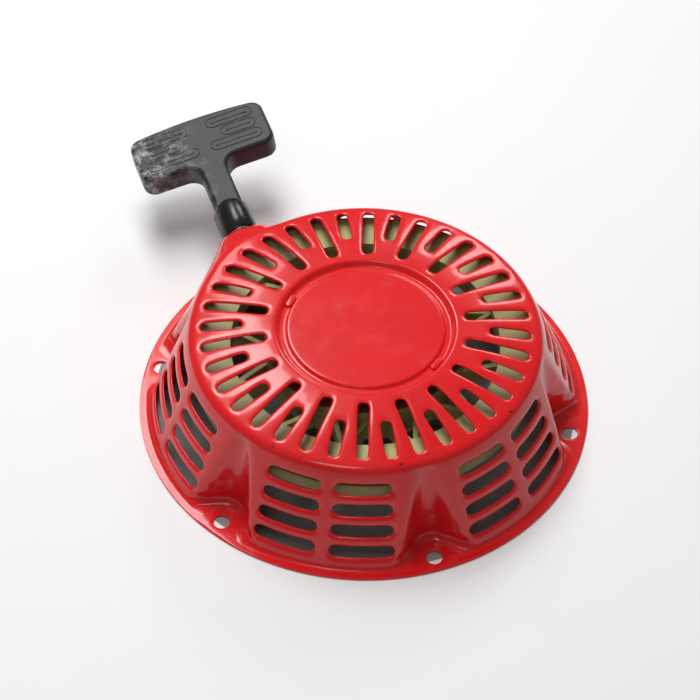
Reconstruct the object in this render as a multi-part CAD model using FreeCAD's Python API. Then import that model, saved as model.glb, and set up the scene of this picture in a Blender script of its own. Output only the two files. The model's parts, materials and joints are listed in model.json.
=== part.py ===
import FreeCAD, Part
import math
import os

from FreeCAD import Vector

# Recoil starter of a small single-cylinder engine, in millimetres.
# Origin: centre of the bolt circle on the flange's underside. +Z points away from the engine,
# through the dome. +Y is the way the rope is pulled out.

# Pressed steel housing
SHEET = 1.2
FLANGE_R = 111.4
BOLT_CIRCLE_R = 103.5
BOLT_HOLE_R = 4.0
BOLT_COUNT = 6
FIRST_BOLT_DEG = 30.0
WALL_FOOT_R = 106.7
WALL_TAPER = 0.4213
CROWN_R = 43.2
CROWN_Z = 56.1
DOME_ARC_R = 184.0
DISC_R = 38.2
DISC_Z = 54.9
GROOVE_IN_R = 39.6
GROOVE_OUT_R = 41.4
GROOVE_Z = 53.5
RIM_BLEND = 5.0
FOOT_BLEND = 2.5

# Bolt pockets: leaning cones sunk into the wall above each bolt hole
POCKET_FOOT_CENTRE_R = 105.0
POCKET_FOOT_R = 14.0
POCKET_TOP_CENTRE_R = 90.5
POCKET_TOP_R = 4.2
POCKET_TOP_Z = 51.2
POCKET_BLEND = 5.0

# Air slots in the dome and louvres in the wall
SLOT_COUNT = 36
SLOT_HALF_WIDTH = 3.0
SLOT_OUTER_R = 80.2
LONG_SLOT_INNER_R = 49.0
SHORT_SLOT_INNER_R = 60.3
LOUVRE_SECTORS_DEG = (0.0, 60.0, 180.0, 240.0, 300.0)
LOUVRE_OFFSETS_DEG = (-10.7, 10.5)
LOUVRE_SPAN_DEG = 17.4
LOUVRE_HEIGHT = 6.5
LOUVRE_FIRST_Z = 10.2
LOUVRE_PITCH_Z = 10.17
LOUVRE_ROWS = 4
LANCE_ANGLES_DEG = (135.5, 308.0)
LANCE_LENGTH = 9.0
LANCE_WIDTH = 3.8
LANCE_TOP_Z = 54.7

# Rope, its outlet and the grip
ROPE_R = 2.75
ROPE_Z = 39.8
ROPE_TURNS = 3
OUTLET_X = -35.0
OUTLET_Y = 93.4
OUTLET_HALF_WIDTH = 11.4
OUTLET_ROOT_X = -46.0
OUTLET_ROOT_Y = 62.0
OUTLET_ROOT_HALF_WIDTH = 12.6
EYELET_BORE_R = 3.6
EYELET_R = 6.5
EYELET_FLANGE_R = 9.0
EYELET_FLANGE = 1.6
EYELET_LIP = 0.6
BEND_Y = 84.5
BEND_R = 11.0
GRIP_START_Y = 93.8
GRIP_ROLL_DEG = -9.0
COLLAR_LENGTH = 18.5
COLLAR_SHOULDER = 4.0
COLLAR_R = 9.6
NECK_HALF_WIDTH = 7.0
BAR_START = 47.8
BAR_END = 79.9
BAR_BOW_DEG = 7.0
BAR_HALF_LENGTH = 36.1
BAR_END_BLEND = 6.5
CROTCH_BLEND = 7.0
GRIP_THICKNESS = 13.5
GRIP_EDGE_BLEND = 2.4
KNOT_POCKET_START = 64.0
KNOT_R = 5.0
KNOT_PLATE = 1.2
POCKET_HALF_LENGTH = 10.0

# Reel
REEL_OUTER_R = 84.0
GROOVE_FLOOR_R = 67.6
RIM_INNER_R = 65.6
GROOVE_LOW_Z = 36.6
GROOVE_TOP_Z = 43.0
REEL_WALL = 2.0
SKIRT_LOW_Z = 29.5
SKIRT_WALL = 2.5
DRUM_OUTER_R = 49.0
DRUM_INNER_R = 44.5
DRUM_TOP_Z = 47.0
FLOOR_LOW_Z = 29.5
FLOOR_TOP_Z = 33.0
BOSS_R = 15.0
BOSS_LOW_Z = 24.0
BOSS_TOP_Z = 36.0
BUSH_OUTER_R = 12.0
RIB_COUNT = 12
RIB_FIRST_DEG = 2.3
RIB_SPREAD_DEG = 9.0
RIB_THICKNESS = 2.4
RIB_LOW_Z = 31.0
RIB_TOP_Z = 41.0
KNOT_HOLE_DEG = 77.3
KNOT_SEAT_R = 60.0
LAY_GAP = 0.2
KEEPER_SHEET = 0.8
KEEPER_SCREW_R = 1.4
KEEPER_SCREW_LENGTH = 6.0
KEEPER_HEAD_R = 2.3
KEEPER_HEAD_HEIGHT = 1.4

# Centre post and what sits on it
POST_R = 9.0
POST_LOW_R = 7.0
POST_LOW_Z = 17.0
POST_SHOULDER_Z = 22.3
POST_TOP_Z = 51.7
RUNNING_GAP = 0.05
SCREW_R = 3.0
SCREW_DEPTH = 13.0
SCREW_FLANGE_R = 8.0
SCREW_FLANGE = 1.4
SCREW_HEAD = 5.0
SCREW_ACROSS_FLATS = 10.0
THRUST_WASHER_R = 14.5
RETAINING_WASHER_R = 12.0
RETAINING_WASHER = 1.2
PLATE_R = 34.0
ARBOR_R = 18.0
ARBOR_LOW_Z = 36.8

# Mainspring
SPRING_LOW_Z = 34.0
SPRING_HEIGHT = 9.8
SPRING_STRIP = 0.9
SPRING_INNER_R = 19.0
SPRING_OUTER_R = 43.4
SPRING_TURNS = 11
NOTCH_DEPTH = 3.0
NOTCH_WIDTH = 1.6
HOOK_GAP = 0.4

# Ratchets and their guide
PIVOT_R = 25.0
PIN_R = 3.0
PAWL_LOW_Z = 25.5
PAWL_TOP_Z = 29.2
# The pawl's circles from pivot to tip: offset in X and Y from the pivot, and radius
PAWL_CIRCLES = ((0.0, 0.0, 6.0), (-1.6, -11.0, 4.6), (-3.5, -21.5, 2.2))
PAWL_SWING_DEG = 25.0
GUIDE_TURN_DEG = 22.0
PEG_R = 1.8
PEG_AT = (-1.5, -11.0)
PEG_GAP = 0.8
PIN_END_GAP = 0.4
GUIDE_R = 34.0
GUIDE_LOW_Z = 20.4
GUIDE_THICKNESS = 1.6

UP = Vector(0, 0, 1)
AXIS_START = Vector(0, 0, 0)


def polar(radius, degrees, z=0.0):
    """A point at a radius and an azimuth about the Z axis."""
    angle = math.radians(degrees)
    return Vector(radius * math.cos(angle), radius * math.sin(angle), z)


def cylinder(radius, low, high, centre=Vector(0, 0, 0)):
    return Part.makeCylinder(radius, high - low, Vector(centre.x, centre.y, low), UP)


def ring(inner, outer, low, high, centre=Vector(0, 0, 0)):
    return cylinder(outer, low, high, centre).cut(cylinder(inner, low - 1, high + 1, centre))


def turned(shape, degrees):
    """A copy of the shape turned about the Z axis."""
    copy = shape.copy()
    copy.rotate(AXIS_START, UP, degrees)
    return copy


def circles_at(shape, radius, z, reach=0.3):
    """The full circles about the Z axis with this radius and height."""
    found = []
    for edge in shape.Edges:
        curve = edge.Curve
        if not isinstance(curve, Part.Circle):
            continue
        centre = curve.Center
        on_axis = math.hypot(centre.x, centre.y) < 0.01
        if on_axis and abs(curve.Radius - radius) < reach and abs(centre.z - z) < reach:
            found.append(edge)
    return found


def revolved(edges):
    """The solid swept by a closed outline in the XZ plane."""
    face = Part.Face(Part.Wire(edges))
    return face.revolve(AXIS_START, UP, 360)


def wall_radius(z, inset):
    """Radius of the tapered wall at a height, moved inwards by a sheet's thickness or none."""
    return WALL_FOOT_R - inset * math.hypot(1, WALL_TAPER) - WALL_TAPER * (z - SHEET)


def dome_height(radius, inset):
    arc = DOME_ARC_R - inset
    return CROWN_Z - DOME_ARC_R + math.sqrt(arc**2 - (radius - CROWN_R) ** 2)


def rim_corner(inset):
    """Where the dome's arc meets the wall, before the rim is rounded."""
    radius = WALL_FOOT_R
    for _ in range(60):
        radius = wall_radius(dome_height(radius, inset), inset)
    return radius, dome_height(radius, inset)


def dome_solid(inset, low):
    """The dome and wall as one full solid; inset moves every surface inwards."""
    rim_r, rim_z = rim_corner(inset)
    mid_r = (CROWN_R + rim_r) / 2
    points = [
        Vector(0, 0, low),
        Vector(0, 0, DISC_Z - inset),
        Vector(DISC_R, 0, DISC_Z - inset),
        Vector(GROOVE_IN_R, 0, GROOVE_Z - inset),
        Vector(GROOVE_OUT_R, 0, GROOVE_Z - inset),
        Vector(CROWN_R, 0, CROWN_Z - inset),
    ]
    rim = Vector(rim_r, 0, rim_z)
    foot = Vector(wall_radius(low, inset), 0, low)
    edges = [Part.makeLine(a, b) for a, b in zip(points, points[1:])]
    edges.append(Part.Arc(points[-1], Vector(mid_r, 0, dome_height(mid_r, inset)), rim).toShape())
    edges.append(Part.makeLine(rim, foot))
    edges.append(Part.makeLine(foot, points[0]))
    solid = revolved(edges)
    return solid.makeFillet(RIM_BLEND - inset, circles_at(solid, rim_r, rim_z))


def pocket_tool(inset):
    """What is taken away above one bolt hole, at azimuth 0: a cone that leans with the wall."""
    low = SHEET - inset
    foot = Part.Circle(Vector(POCKET_FOOT_CENTRE_R, 0, low), UP, POCKET_FOOT_R + inset)
    top = Part.Circle(Vector(POCKET_TOP_CENTRE_R, 0, POCKET_TOP_Z), UP, POCKET_TOP_R + inset)
    wires = [Part.Wire([circle.toShape()]) for circle in (foot, top)]
    cone = Part.makeLoft(wires, True, True)
    foot_edges = [edge for edge in cone.Edges if edge.BoundBox.ZMax < low + 0.01]
    return cone.makeFillet(POCKET_BLEND + inset, foot_edges)


def arch(x, y, half_width, low):
    """A round-topped doorway outline in a plane square to Y."""
    left, right = x - half_width, x + half_width
    corners = [
        Vector(left, y, ROPE_Z),
        Vector(left, y, low),
        Vector(right, y, low),
        Vector(right, y, ROPE_Z),
    ]
    edges = [Part.makeLine(a, b) for a, b in zip(corners, corners[1:])]
    edges.append(Part.Arc(corners[3], Vector(x, y, ROPE_Z + half_width), corners[0]).toShape())
    return Part.Wire(edges)


def outlet_solid(inset, low):
    """The bulge that leads the rope out through the wall."""
    mouth = arch(OUTLET_X, OUTLET_Y - inset, OUTLET_HALF_WIDTH - inset, low)
    root = arch(OUTLET_ROOT_X, OUTLET_ROOT_Y, OUTLET_ROOT_HALF_WIDTH - inset, low)
    return Part.makeLoft([mouth, root], True, True)


def bolt_angles():
    return [FIRST_BOLT_DEG + 360.0 / BOLT_COUNT * k for k in range(BOLT_COUNT)]


def housing_solid(inset, low, extra):
    """The housing as a full solid with its outlet and bolt pockets; extra shapes join it first."""
    solid = dome_solid(inset, low).fuse([outlet_solid(inset, low)] + extra)
    pocket = pocket_tool(inset)
    for angle in bolt_angles():
        solid = solid.cut(turned(pocket, angle))
    return solid


def stadium(half_length, half_width, depth):
    """A round-ended bar along X and centred on it, standing from z = 0 to z = depth."""
    run = half_length - half_width
    corners = [
        Vector(-run, -half_width, 0),
        Vector(run, -half_width, 0),
        Vector(run, half_width, 0),
        Vector(-run, half_width, 0),
    ]
    edges = [
        Part.makeLine(corners[0], corners[1]),
        Part.Arc(corners[1], Vector(half_length, 0, 0), corners[2]).toShape(),
        Part.makeLine(corners[2], corners[3]),
        Part.Arc(corners[3], Vector(-half_length, 0, 0), corners[0]).toShape(),
    ]
    return Part.Face(Part.Wire(edges)).extrude(Vector(0, 0, depth))


def dome_slots():
    """Radial slots, long and short by turns."""
    slots = []
    for k in range(SLOT_COUNT):
        inner = LONG_SLOT_INNER_R if k % 2 else SHORT_SLOT_INNER_R
        slot = stadium((SLOT_OUTER_R - inner) / 2, SLOT_HALF_WIDTH, 30)
        slot.translate(Vector((SLOT_OUTER_R + inner) / 2, 0, CROWN_Z - 20))
        slots.append(turned(slot, 360.0 / SLOT_COUNT * k))
    return slots


def louvres():
    """Rows of round-ended openings, cut square to the tapered wall."""
    lean = math.degrees(math.atan(WALL_TAPER))
    cuts = []
    for row in range(LOUVRE_ROWS):
        z = LOUVRE_FIRST_Z + LOUVRE_PITCH_Z * row
        radius = wall_radius(z, 0)
        half_length = radius * math.sin(math.radians(LOUVRE_SPAN_DEG / 2))
        cut = stadium(half_length, LOUVRE_HEIGHT / 2, 16)
        cut.translate(Vector(0, 0, -9))
        cut.rotate(AXIS_START, UP, 90)
        cut.rotate(AXIS_START, Vector(0, 1, 0), 90 - lean)
        cut.translate(Vector(radius, 0, z))
        for sector in LOUVRE_SECTORS_DEG:
            for offset in LOUVRE_OFFSETS_DEG:
                cuts.append(turned(cut, sector + offset))
    return cuts


def make_housing():
    outer = housing_solid(0, 0, [cylinder(FLANGE_R, 0, SHEET)])
    inner = housing_solid(SHEET, -1, [])
    shell = outer.cut(inner)
    places = [polar(BOLT_CIRCLE_R, angle) for angle in bolt_angles()]
    holes = [cylinder(BOLT_HOLE_R, -1, SHEET + 1, place) for place in places]
    mouth = Part.makeCylinder(EYELET_R, 6, Vector(OUTLET_X, OUTLET_Y - 3, ROPE_Z), Vector(0, 1, 0))
    shell = shell.cut(dome_slots() + louvres() + holes + [mouth])
    lances = []
    for angle in LANCE_ANGLES_DEG:
        lance = Part.makeBox(LANCE_WIDTH, LANCE_LENGTH, LANCE_TOP_Z - GROOVE_Z + SHEET / 2)
        lance.translate(Vector(GROOVE_IN_R - 1, -LANCE_LENGTH / 2, GROOVE_Z - SHEET / 2))
        lances.append(turned(lance, angle))
    return shell.fuse(lances)


def make_post_plate():
    """Steel disc welded under the dome's centre; the post and the spring arbor hang from it."""
    return ring(POST_R, PLATE_R, POST_TOP_Z, DISC_Z - SHEET)


def make_centre_post():
    post = cylinder(POST_R, POST_SHOULDER_Z, DISC_Z - SHEET)
    post = post.fuse(cylinder(POST_LOW_R, POST_LOW_Z, POST_SHOULDER_Z))
    return post.cut(cylinder(SCREW_R, POST_LOW_Z - 1, POST_LOW_Z + SCREW_DEPTH)).removeSplitter()


def make_spring_arbor():
    """Sleeve with a notch that holds the mainspring's inner end."""
    notch = Part.makeBox(NOTCH_DEPTH, NOTCH_WIDTH, POST_TOP_Z)
    notch.translate(Vector(ARBOR_R - NOTCH_DEPTH + 1, -NOTCH_WIDTH / 2, 0))
    return ring(POST_R, ARBOR_R, ARBOR_LOW_Z, POST_TOP_Z).cut(notch)


def make_rope_eyelet():
    """Flanged bush in the outlet's mouth, seated from inside."""
    inner_y = OUTLET_Y - SHEET - EYELET_FLANGE
    forward = Vector(0, 1, 0)
    length = EYELET_FLANGE + SHEET + EYELET_LIP
    bush = Part.makeCylinder(EYELET_R, length, Vector(OUTLET_X, inner_y, ROPE_Z), forward)
    flange = Part.makeCylinder(EYELET_FLANGE_R, EYELET_FLANGE, Vector(OUTLET_X, inner_y, ROPE_Z), forward)
    bore = Part.makeCylinder(EYELET_BORE_R, 20, Vector(OUTLET_X, inner_y - 1, ROPE_Z), forward)
    return bush.fuse(flange).cut(bore).removeSplitter()


def drum_notch():
    """Where the mainspring's outer end is held in the drum wall."""
    notch = Part.makeBox(NOTCH_DEPTH, NOTCH_WIDTH, DRUM_TOP_Z)
    notch.translate(Vector(SPRING_OUTER_R, -NOTCH_WIDTH / 2, FLOOR_TOP_Z))
    return notch


def pivot_places():
    return [polar(PIVOT_R, angle) for angle in (0, 180)]


def keeper_screw_places():
    return [polar((DRUM_INNER_R + DRUM_OUTER_R) / 2, 60 + 120 * k) for k in range(3)]


def make_reel():
    """Nylon reel: spring drum, trussed web, and a rope groove with a skirt below it."""
    drum = ring(DRUM_INNER_R, DRUM_OUTER_R, FLOOR_LOW_Z, DRUM_TOP_Z)
    floor = ring(BUSH_OUTER_R, DRUM_OUTER_R, FLOOR_LOW_Z, FLOOR_TOP_Z)
    boss = ring(BUSH_OUTER_R, BOSS_R, BOSS_LOW_Z, BOSS_TOP_Z)
    rim = [
        ring(RIM_INNER_R, GROOVE_FLOOR_R, GROOVE_LOW_Z - REEL_WALL, GROOVE_TOP_Z + REEL_WALL),
        ring(RIM_INNER_R, REEL_OUTER_R, GROOVE_TOP_Z, GROOVE_TOP_Z + REEL_WALL),
        ring(RIM_INNER_R, REEL_OUTER_R, GROOVE_LOW_Z - REEL_WALL, GROOVE_LOW_Z),
        ring(REEL_OUTER_R - SKIRT_WALL, REEL_OUTER_R, SKIRT_LOW_Z, GROOVE_LOW_Z),
    ]
    ribs = []
    for k in range(RIB_COUNT):
        apex_deg = RIB_FIRST_DEG + 360.0 / RIB_COUNT * k
        for side in (-1, 1):
            apex = polar(RIM_INNER_R + 0.6, apex_deg)
            foot = polar(DRUM_OUTER_R - 1.0, apex_deg + side * RIB_SPREAD_DEG)
            along = apex.sub(foot)
            rib = Part.makeBox(along.Length, RIB_THICKNESS, RIB_TOP_Z - RIB_LOW_Z)
            rib.translate(Vector(0, -RIB_THICKNESS / 2, RIB_LOW_Z))
            rib.rotate(AXIS_START, UP, math.degrees(math.atan2(along.y, along.x)))
            rib.translate(foot)
            ribs.append(rib)
    reel = drum.fuse([floor, boss] + rim + ribs)
    rope_hole = Part.makeCylinder(ROPE_R + 0.3, 12, Vector(RIM_INNER_R - 4, 0, ROPE_Z), Vector(1, 0, 0))
    holes = [turned(rope_hole, KNOT_HOLE_DEG), drum_notch()]
    for place in pivot_places():
        holes.append(cylinder(PIN_R, FLOOR_LOW_Z - 1, FLOOR_TOP_Z, place))
    for place in keeper_screw_places():
        holes.append(cylinder(KEEPER_SCREW_R, DRUM_TOP_Z - KEEPER_SCREW_LENGTH, DRUM_TOP_Z + 1, place))
    return reel.cut(holes).removeSplitter()


def make_reel_bush():
    return ring(POST_R + RUNNING_GAP, BUSH_OUTER_R, BOSS_LOW_Z, BOSS_TOP_Z)


def spiral_edges(offset):
    """A spiral of half circles whose radius grows by a constant step, at z = SPRING_LOW_Z."""
    step = (SPRING_OUTER_R - SPRING_INNER_R) / (2 * SPRING_TURNS)
    edges = []
    centre_x = 0.0
    radius = SPRING_INNER_R
    for k in range(2 * SPRING_TURNS):
        sign = 1 if k % 2 == 0 else -1
        arm = radius + offset
        start = Vector(centre_x + sign * arm, 0, SPRING_LOW_Z)
        top = Vector(centre_x, sign * arm, SPRING_LOW_Z)
        end = Vector(centre_x - sign * arm, 0, SPRING_LOW_Z)
        edges.append(Part.Arc(start, top, end).toShape())
        centre_x += sign * step
        radius += step
    return edges


def spring_hook(start_x, end_x):
    """A straight tab along X that carries one end of the mainspring into its notch."""
    hook = Part.makeBox(end_x - start_x, SPRING_STRIP, SPRING_HEIGHT)
    hook.translate(Vector(start_x, -SPRING_STRIP / 2, SPRING_LOW_Z))
    return hook


def make_mainspring():
    """Flat strip wound as a spiral, hooked into the arbor's notch inside and the drum's outside."""
    inner = spiral_edges(-SPRING_STRIP / 2)
    outer = spiral_edges(SPRING_STRIP / 2)
    start_cap = Part.makeLine(inner[0].Vertexes[0].Point, outer[0].Vertexes[0].Point)
    end_cap = Part.makeLine(inner[-1].Vertexes[-1].Point, outer[-1].Vertexes[-1].Point)
    wire = Part.Wire(Part.__sortEdges__(inner + outer + [start_cap, end_cap]))
    strip = Part.Face(wire).extrude(Vector(0, 0, SPRING_HEIGHT))
    half = SPRING_STRIP / 2
    inner_hook = spring_hook(ARBOR_R - NOTCH_DEPTH + 1 + HOOK_GAP, SPRING_INNER_R + half)
    outer_hook = spring_hook(SPRING_OUTER_R - half, SPRING_OUTER_R + NOTCH_DEPTH - HOOK_GAP)
    return strip.fuse([inner_hook, outer_hook])


def make_spring_keeper():
    """Thin steel cover that holds the mainspring in its drum."""
    keeper = ring(ARBOR_R + 2, DRUM_OUTER_R - 0.4, DRUM_TOP_Z, DRUM_TOP_Z + KEEPER_SHEET)
    holes = []
    for place in keeper_screw_places():
        holes.append(cylinder(KEEPER_SCREW_R, DRUM_TOP_Z - 1, DRUM_TOP_Z + 2, place))
    return keeper.cut(holes)


def make_keeper_screws():
    screws = []
    head_low = DRUM_TOP_Z + KEEPER_SHEET
    for place in keeper_screw_places():
        shank = cylinder(KEEPER_SCREW_R, DRUM_TOP_Z - KEEPER_SCREW_LENGTH, head_low, place)
        head = cylinder(KEEPER_HEAD_R, head_low, head_low + KEEPER_HEAD_HEIGHT, place)
        screws.append(shank.fuse(head).removeSplitter())
    return Part.makeCompound(screws)


def linked_circles(points_and_radii):
    """The face covered by a chain of circles, each joined to the next by its outer tangents."""
    face = None
    for (a, ra), (b, rb) in zip(points_and_radii, points_and_radii[1:]):
        along = b.sub(a)
        base = math.atan2(along.y, along.x)
        swing = math.acos((ra - rb) / along.Length)
        tangents = []
        for side in (1, -1):
            angle = base + side * swing
            normal = Vector(math.cos(angle), math.sin(angle), 0)
            tangents.append((a.add(normal * ra), b.add(normal * rb)))
        (a1, b1), (a2, b2) = tangents
        quad = Part.Face(Part.makePolygon([a1, b1, b2, a2, a1]))
        discs = [Part.Face(Part.Wire([Part.Circle(p, UP, r).toShape()])) for p, r in ((a, ra), (b, rb))]
        link = quad.fuse(discs).removeSplitter()
        face = link if face is None else face.fuse(link).removeSplitter()
    return face


def make_ratchet(turn_deg):
    """Steel pawl on its pivot, with a round tip outside and a peg below for the guide."""
    circles = [(Vector(PIVOT_R + x, y, PAWL_LOW_Z), radius) for x, y, radius in PAWL_CIRCLES]
    body = linked_circles(circles).extrude(Vector(0, 0, PAWL_TOP_Z - PAWL_LOW_Z))
    peg = cylinder(PEG_R, GUIDE_LOW_Z + 0.2, PAWL_LOW_Z, Vector(PIVOT_R + PEG_AT[0], PEG_AT[1], 0))
    bore = cylinder(PIN_R + RUNNING_GAP, PAWL_LOW_Z - 1, PAWL_TOP_Z + 1, Vector(PIVOT_R, 0, 0))
    return turned(body.fuse(peg).cut(bore).removeSplitter(), turn_deg)


def make_ratchet_pins():
    low = GUIDE_LOW_Z + GUIDE_THICKNESS + PIN_END_GAP
    return Part.makeCompound([cylinder(PIN_R, low, FLOOR_TOP_Z, place) for place in pivot_places()])


def make_ratchet_spring(turn_deg):
    """Small torsion spring round the pivot pin, with one leg along the pawl and one against the boss."""
    wire_r = 0.35
    pitch = 1.7 * wire_r
    coil_r = PIN_R + 0.9
    low = GUIDE_LOW_Z + GUIDE_THICKNESS + PIN_END_GAP + 0.5
    coils = [Part.makeTorus(coil_r, wire_r, Vector(PIVOT_R, 0, low + pitch * k), UP) for k in range(4)]
    leg = Part.makeCylinder(wire_r, 7.0, Vector(PIVOT_R + coil_r, 0, low), Vector(0, -1, 0))
    rest = Part.makeCylinder(wire_r, 6.0, Vector(PIVOT_R, coil_r, low + 2 * wire_r), Vector(-1, 0.1, 0))
    solid = coils[0].fuse(coils[1:] + [leg, rest])
    return turned(solid, turn_deg)


def peg_in_guide(share):
    """Centre of a pawl's peg as the guide sees it, after this share of the guide's travel."""
    swing = math.radians(PAWL_SWING_DEG * share)
    x = PIVOT_R + PEG_AT[0] * math.cos(swing) - PEG_AT[1] * math.sin(swing)
    y = PEG_AT[0] * math.sin(swing) + PEG_AT[1] * math.cos(swing)
    back = -math.radians(GUIDE_TURN_DEG * share)
    return Vector(x * math.cos(back) - y * math.sin(back), x * math.sin(back) + y * math.cos(back), 0)


def make_ratchet_guide():
    """Steel disc with two slanting slots that push the pawls out by their pegs."""
    guide = cylinder(GUIDE_R, GUIDE_LOW_Z, GUIDE_LOW_Z + GUIDE_THICKNESS)
    start, end = peg_in_guide(0), peg_in_guide(1)
    along = end.sub(start)
    slot_r = PEG_R + PEG_GAP
    slot = stadium(along.Length / 2 + slot_r, slot_r, 6)
    slot.rotate(AXIS_START, UP, math.degrees(math.atan2(along.y, along.x)))
    slot.translate((start + end) * 0.5 + Vector(0, 0, GUIDE_LOW_Z - 2))
    bore = cylinder(POST_LOW_R + RUNNING_GAP, GUIDE_LOW_Z - 1, GUIDE_LOW_Z + 5)
    return guide.cut([slot, turned(slot, 180), bore])


def make_friction_spring():
    """Open wire ring that grips the post's lower end and brakes the guide."""
    wire_r = 0.75
    centre_r = POST_LOW_R + RUNNING_GAP + wire_r
    path = Part.Circle(Vector(centre_r, 0, GUIDE_LOW_Z - wire_r - 0.05), Vector(0, 1, 0), wire_r)
    section = Part.Face(Part.Wire([path.toShape()]))
    return section.revolve(AXIS_START, UP, 300)


def make_thrust_washer():
    return ring(POST_R + RUNNING_GAP, THRUST_WASHER_R, BOSS_LOW_Z - 1.4, BOSS_LOW_Z - 0.1)


def make_retaining_washer():
    return ring(SCREW_R, RETAINING_WASHER_R, POST_LOW_Z - RETAINING_WASHER, POST_LOW_Z)


def hexagon(across_flats, low, high):
    corner_r = across_flats / math.sqrt(3)
    points = [polar(corner_r, 60 * k, low) for k in range(7)]
    return Part.Face(Part.makePolygon(points)).extrude(Vector(0, 0, high - low))


def make_centre_screw():
    seat = POST_LOW_Z - RETAINING_WASHER
    head_low = seat - SCREW_HEAD
    shank = cylinder(SCREW_R, seat, POST_LOW_Z + SCREW_DEPTH)
    flange = cylinder(SCREW_FLANGE_R, seat - SCREW_FLANGE, seat)
    head = hexagon(SCREW_ACROSS_FLATS, head_low, seat - SCREW_FLANGE)
    return shank.fuse([flange, head]).removeSplitter()


def make_rope_coil():
    """The turns left on the reel behind the outermost one, as one closed ring."""
    low, high = ROPE_Z - ROPE_R, ROPE_Z + ROPE_R
    inner = GROOVE_FLOOR_R + LAY_GAP
    outer = inner + (ROPE_TURNS - 1) * 2 * ROPE_R - 2 * LAY_GAP
    coil = ring(inner, outer, low, high)
    return coil.makeFillet(1.5, circles_at(coil, outer, low) + circles_at(coil, outer, high))


def make_rope_knot():
    knot = Part.makeSphere(KNOT_R)
    knot.translate(Vector(KNOT_SEAT_R, 0, ROPE_Z))
    return turned(knot, KNOT_HOLE_DEG)


def rope_lay_radius():
    """Radius of the rope's centre line in its outermost turn."""
    return GROOVE_FLOOR_R + LAY_GAP + (2 * ROPE_TURNS - 1) * ROPE_R


def make_rope_lead():
    """Rope from where it leaves the reel, round the bend at the outlet and into the grip."""
    corner = Vector(OUTLET_X, BEND_Y, ROPE_Z)
    lay = rope_lay_radius()
    reach = math.hypot(corner.x, corner.y)
    heading = math.atan2(corner.y, corner.x) - math.asin(lay / reach)
    run = math.sqrt(reach**2 - lay**2)
    direction = Vector(math.cos(heading), math.sin(heading), 0)
    start = corner - direction * run
    half_turn = (math.pi / 2 - heading) / 2
    tangent = BEND_R * math.tan(half_turn)
    bend_in = corner - direction * tangent
    bend_out = corner + Vector(0, tangent, 0)
    centre = bend_out - Vector(BEND_R, 0, 0)
    middle = corner - centre
    middle = centre + middle * (BEND_R / middle.Length)
    end = Vector(OUTLET_X, GRIP_START_Y + KNOT_POCKET_START + KNOT_PLATE, ROPE_Z)
    path = Part.Wire(
        [
            Part.makeLine(start, bend_in),
            Part.Arc(bend_in, middle, bend_out).toShape(),
            Part.makeLine(bend_out, end),
        ]
    )
    section = Part.Wire([Part.Circle(start, direction, ROPE_R).toShape()])
    return path.makePipeShell([section], True, False)


def t_outline():
    """The grip's outline in the XY plane: neck along Y, bar across it, with rounded corners."""
    half, neck = BAR_HALF_LENGTH, NECK_HALF_WIDTH
    low = COLLAR_LENGTH - 4.0
    end, fork = BAR_END_BLEND, CROTCH_BLEND
    slant = math.sqrt(0.5)
    bow_angle = math.radians(BAR_BOW_DEG)
    bow_lean = Vector(math.sin(bow_angle), math.cos(bow_angle), 0)
    bow_r = end + (half - end) / bow_lean.x
    bow_centre_y = BAR_END - end - (bow_r - end) * bow_lean.y

    def side(sign):
        fork_centre = Vector(sign * (neck + fork), BAR_START - fork, 0)
        near_centre = Vector(sign * (half - end), BAR_START + end, 0)
        far_centre = Vector(sign * (half - end), BAR_END - end, 0)
        return [
            Part.makeLine(Vector(sign * neck, low, 0), Vector(sign * neck, fork_centre.y, 0)),
            Part.Arc(
                Vector(sign * neck, fork_centre.y, 0),
                fork_centre + Vector(-sign * slant, slant, 0) * fork,
                Vector(fork_centre.x, BAR_START, 0),
            ).toShape(),
            Part.makeLine(Vector(fork_centre.x, BAR_START, 0), Vector(near_centre.x, BAR_START, 0)),
            Part.Arc(
                Vector(near_centre.x, BAR_START, 0),
                near_centre + Vector(sign * slant, -slant, 0) * end,
                Vector(sign * half, near_centre.y, 0),
            ).toShape(),
            Part.makeLine(Vector(sign * half, near_centre.y, 0), Vector(sign * half, far_centre.y, 0)),
            Part.Arc(
                Vector(sign * half, far_centre.y, 0),
                far_centre + Vector(sign * slant, slant, 0) * end,
                far_centre + Vector(sign * bow_lean.x, bow_lean.y, 0) * end,
            ).toShape(),
        ]

    bow_end = Vector(half - end, BAR_END - end, 0) + bow_lean * end
    bow_top = Vector(0, bow_centre_y + bow_r, 0)
    bow = Part.Arc(Vector(-bow_end.x, bow_end.y, 0), bow_top, bow_end).toShape()
    closing = Part.makeLine(Vector(-neck, low, 0), Vector(neck, low, 0))
    return Part.Wire(Part.__sortEdges__(side(1) + side(-1) + [bow, closing]))


def placed_on_grip(shape):
    """Moves a shape from the grip's own axes, Y along the pull, to its place, rolled about the rope."""
    copy = shape.copy()
    copy.rotate(AXIS_START, Vector(0, 1, 0), GRIP_ROLL_DEG)
    copy.translate(Vector(OUTLET_X, GRIP_START_Y, ROPE_Z))
    return copy


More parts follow.
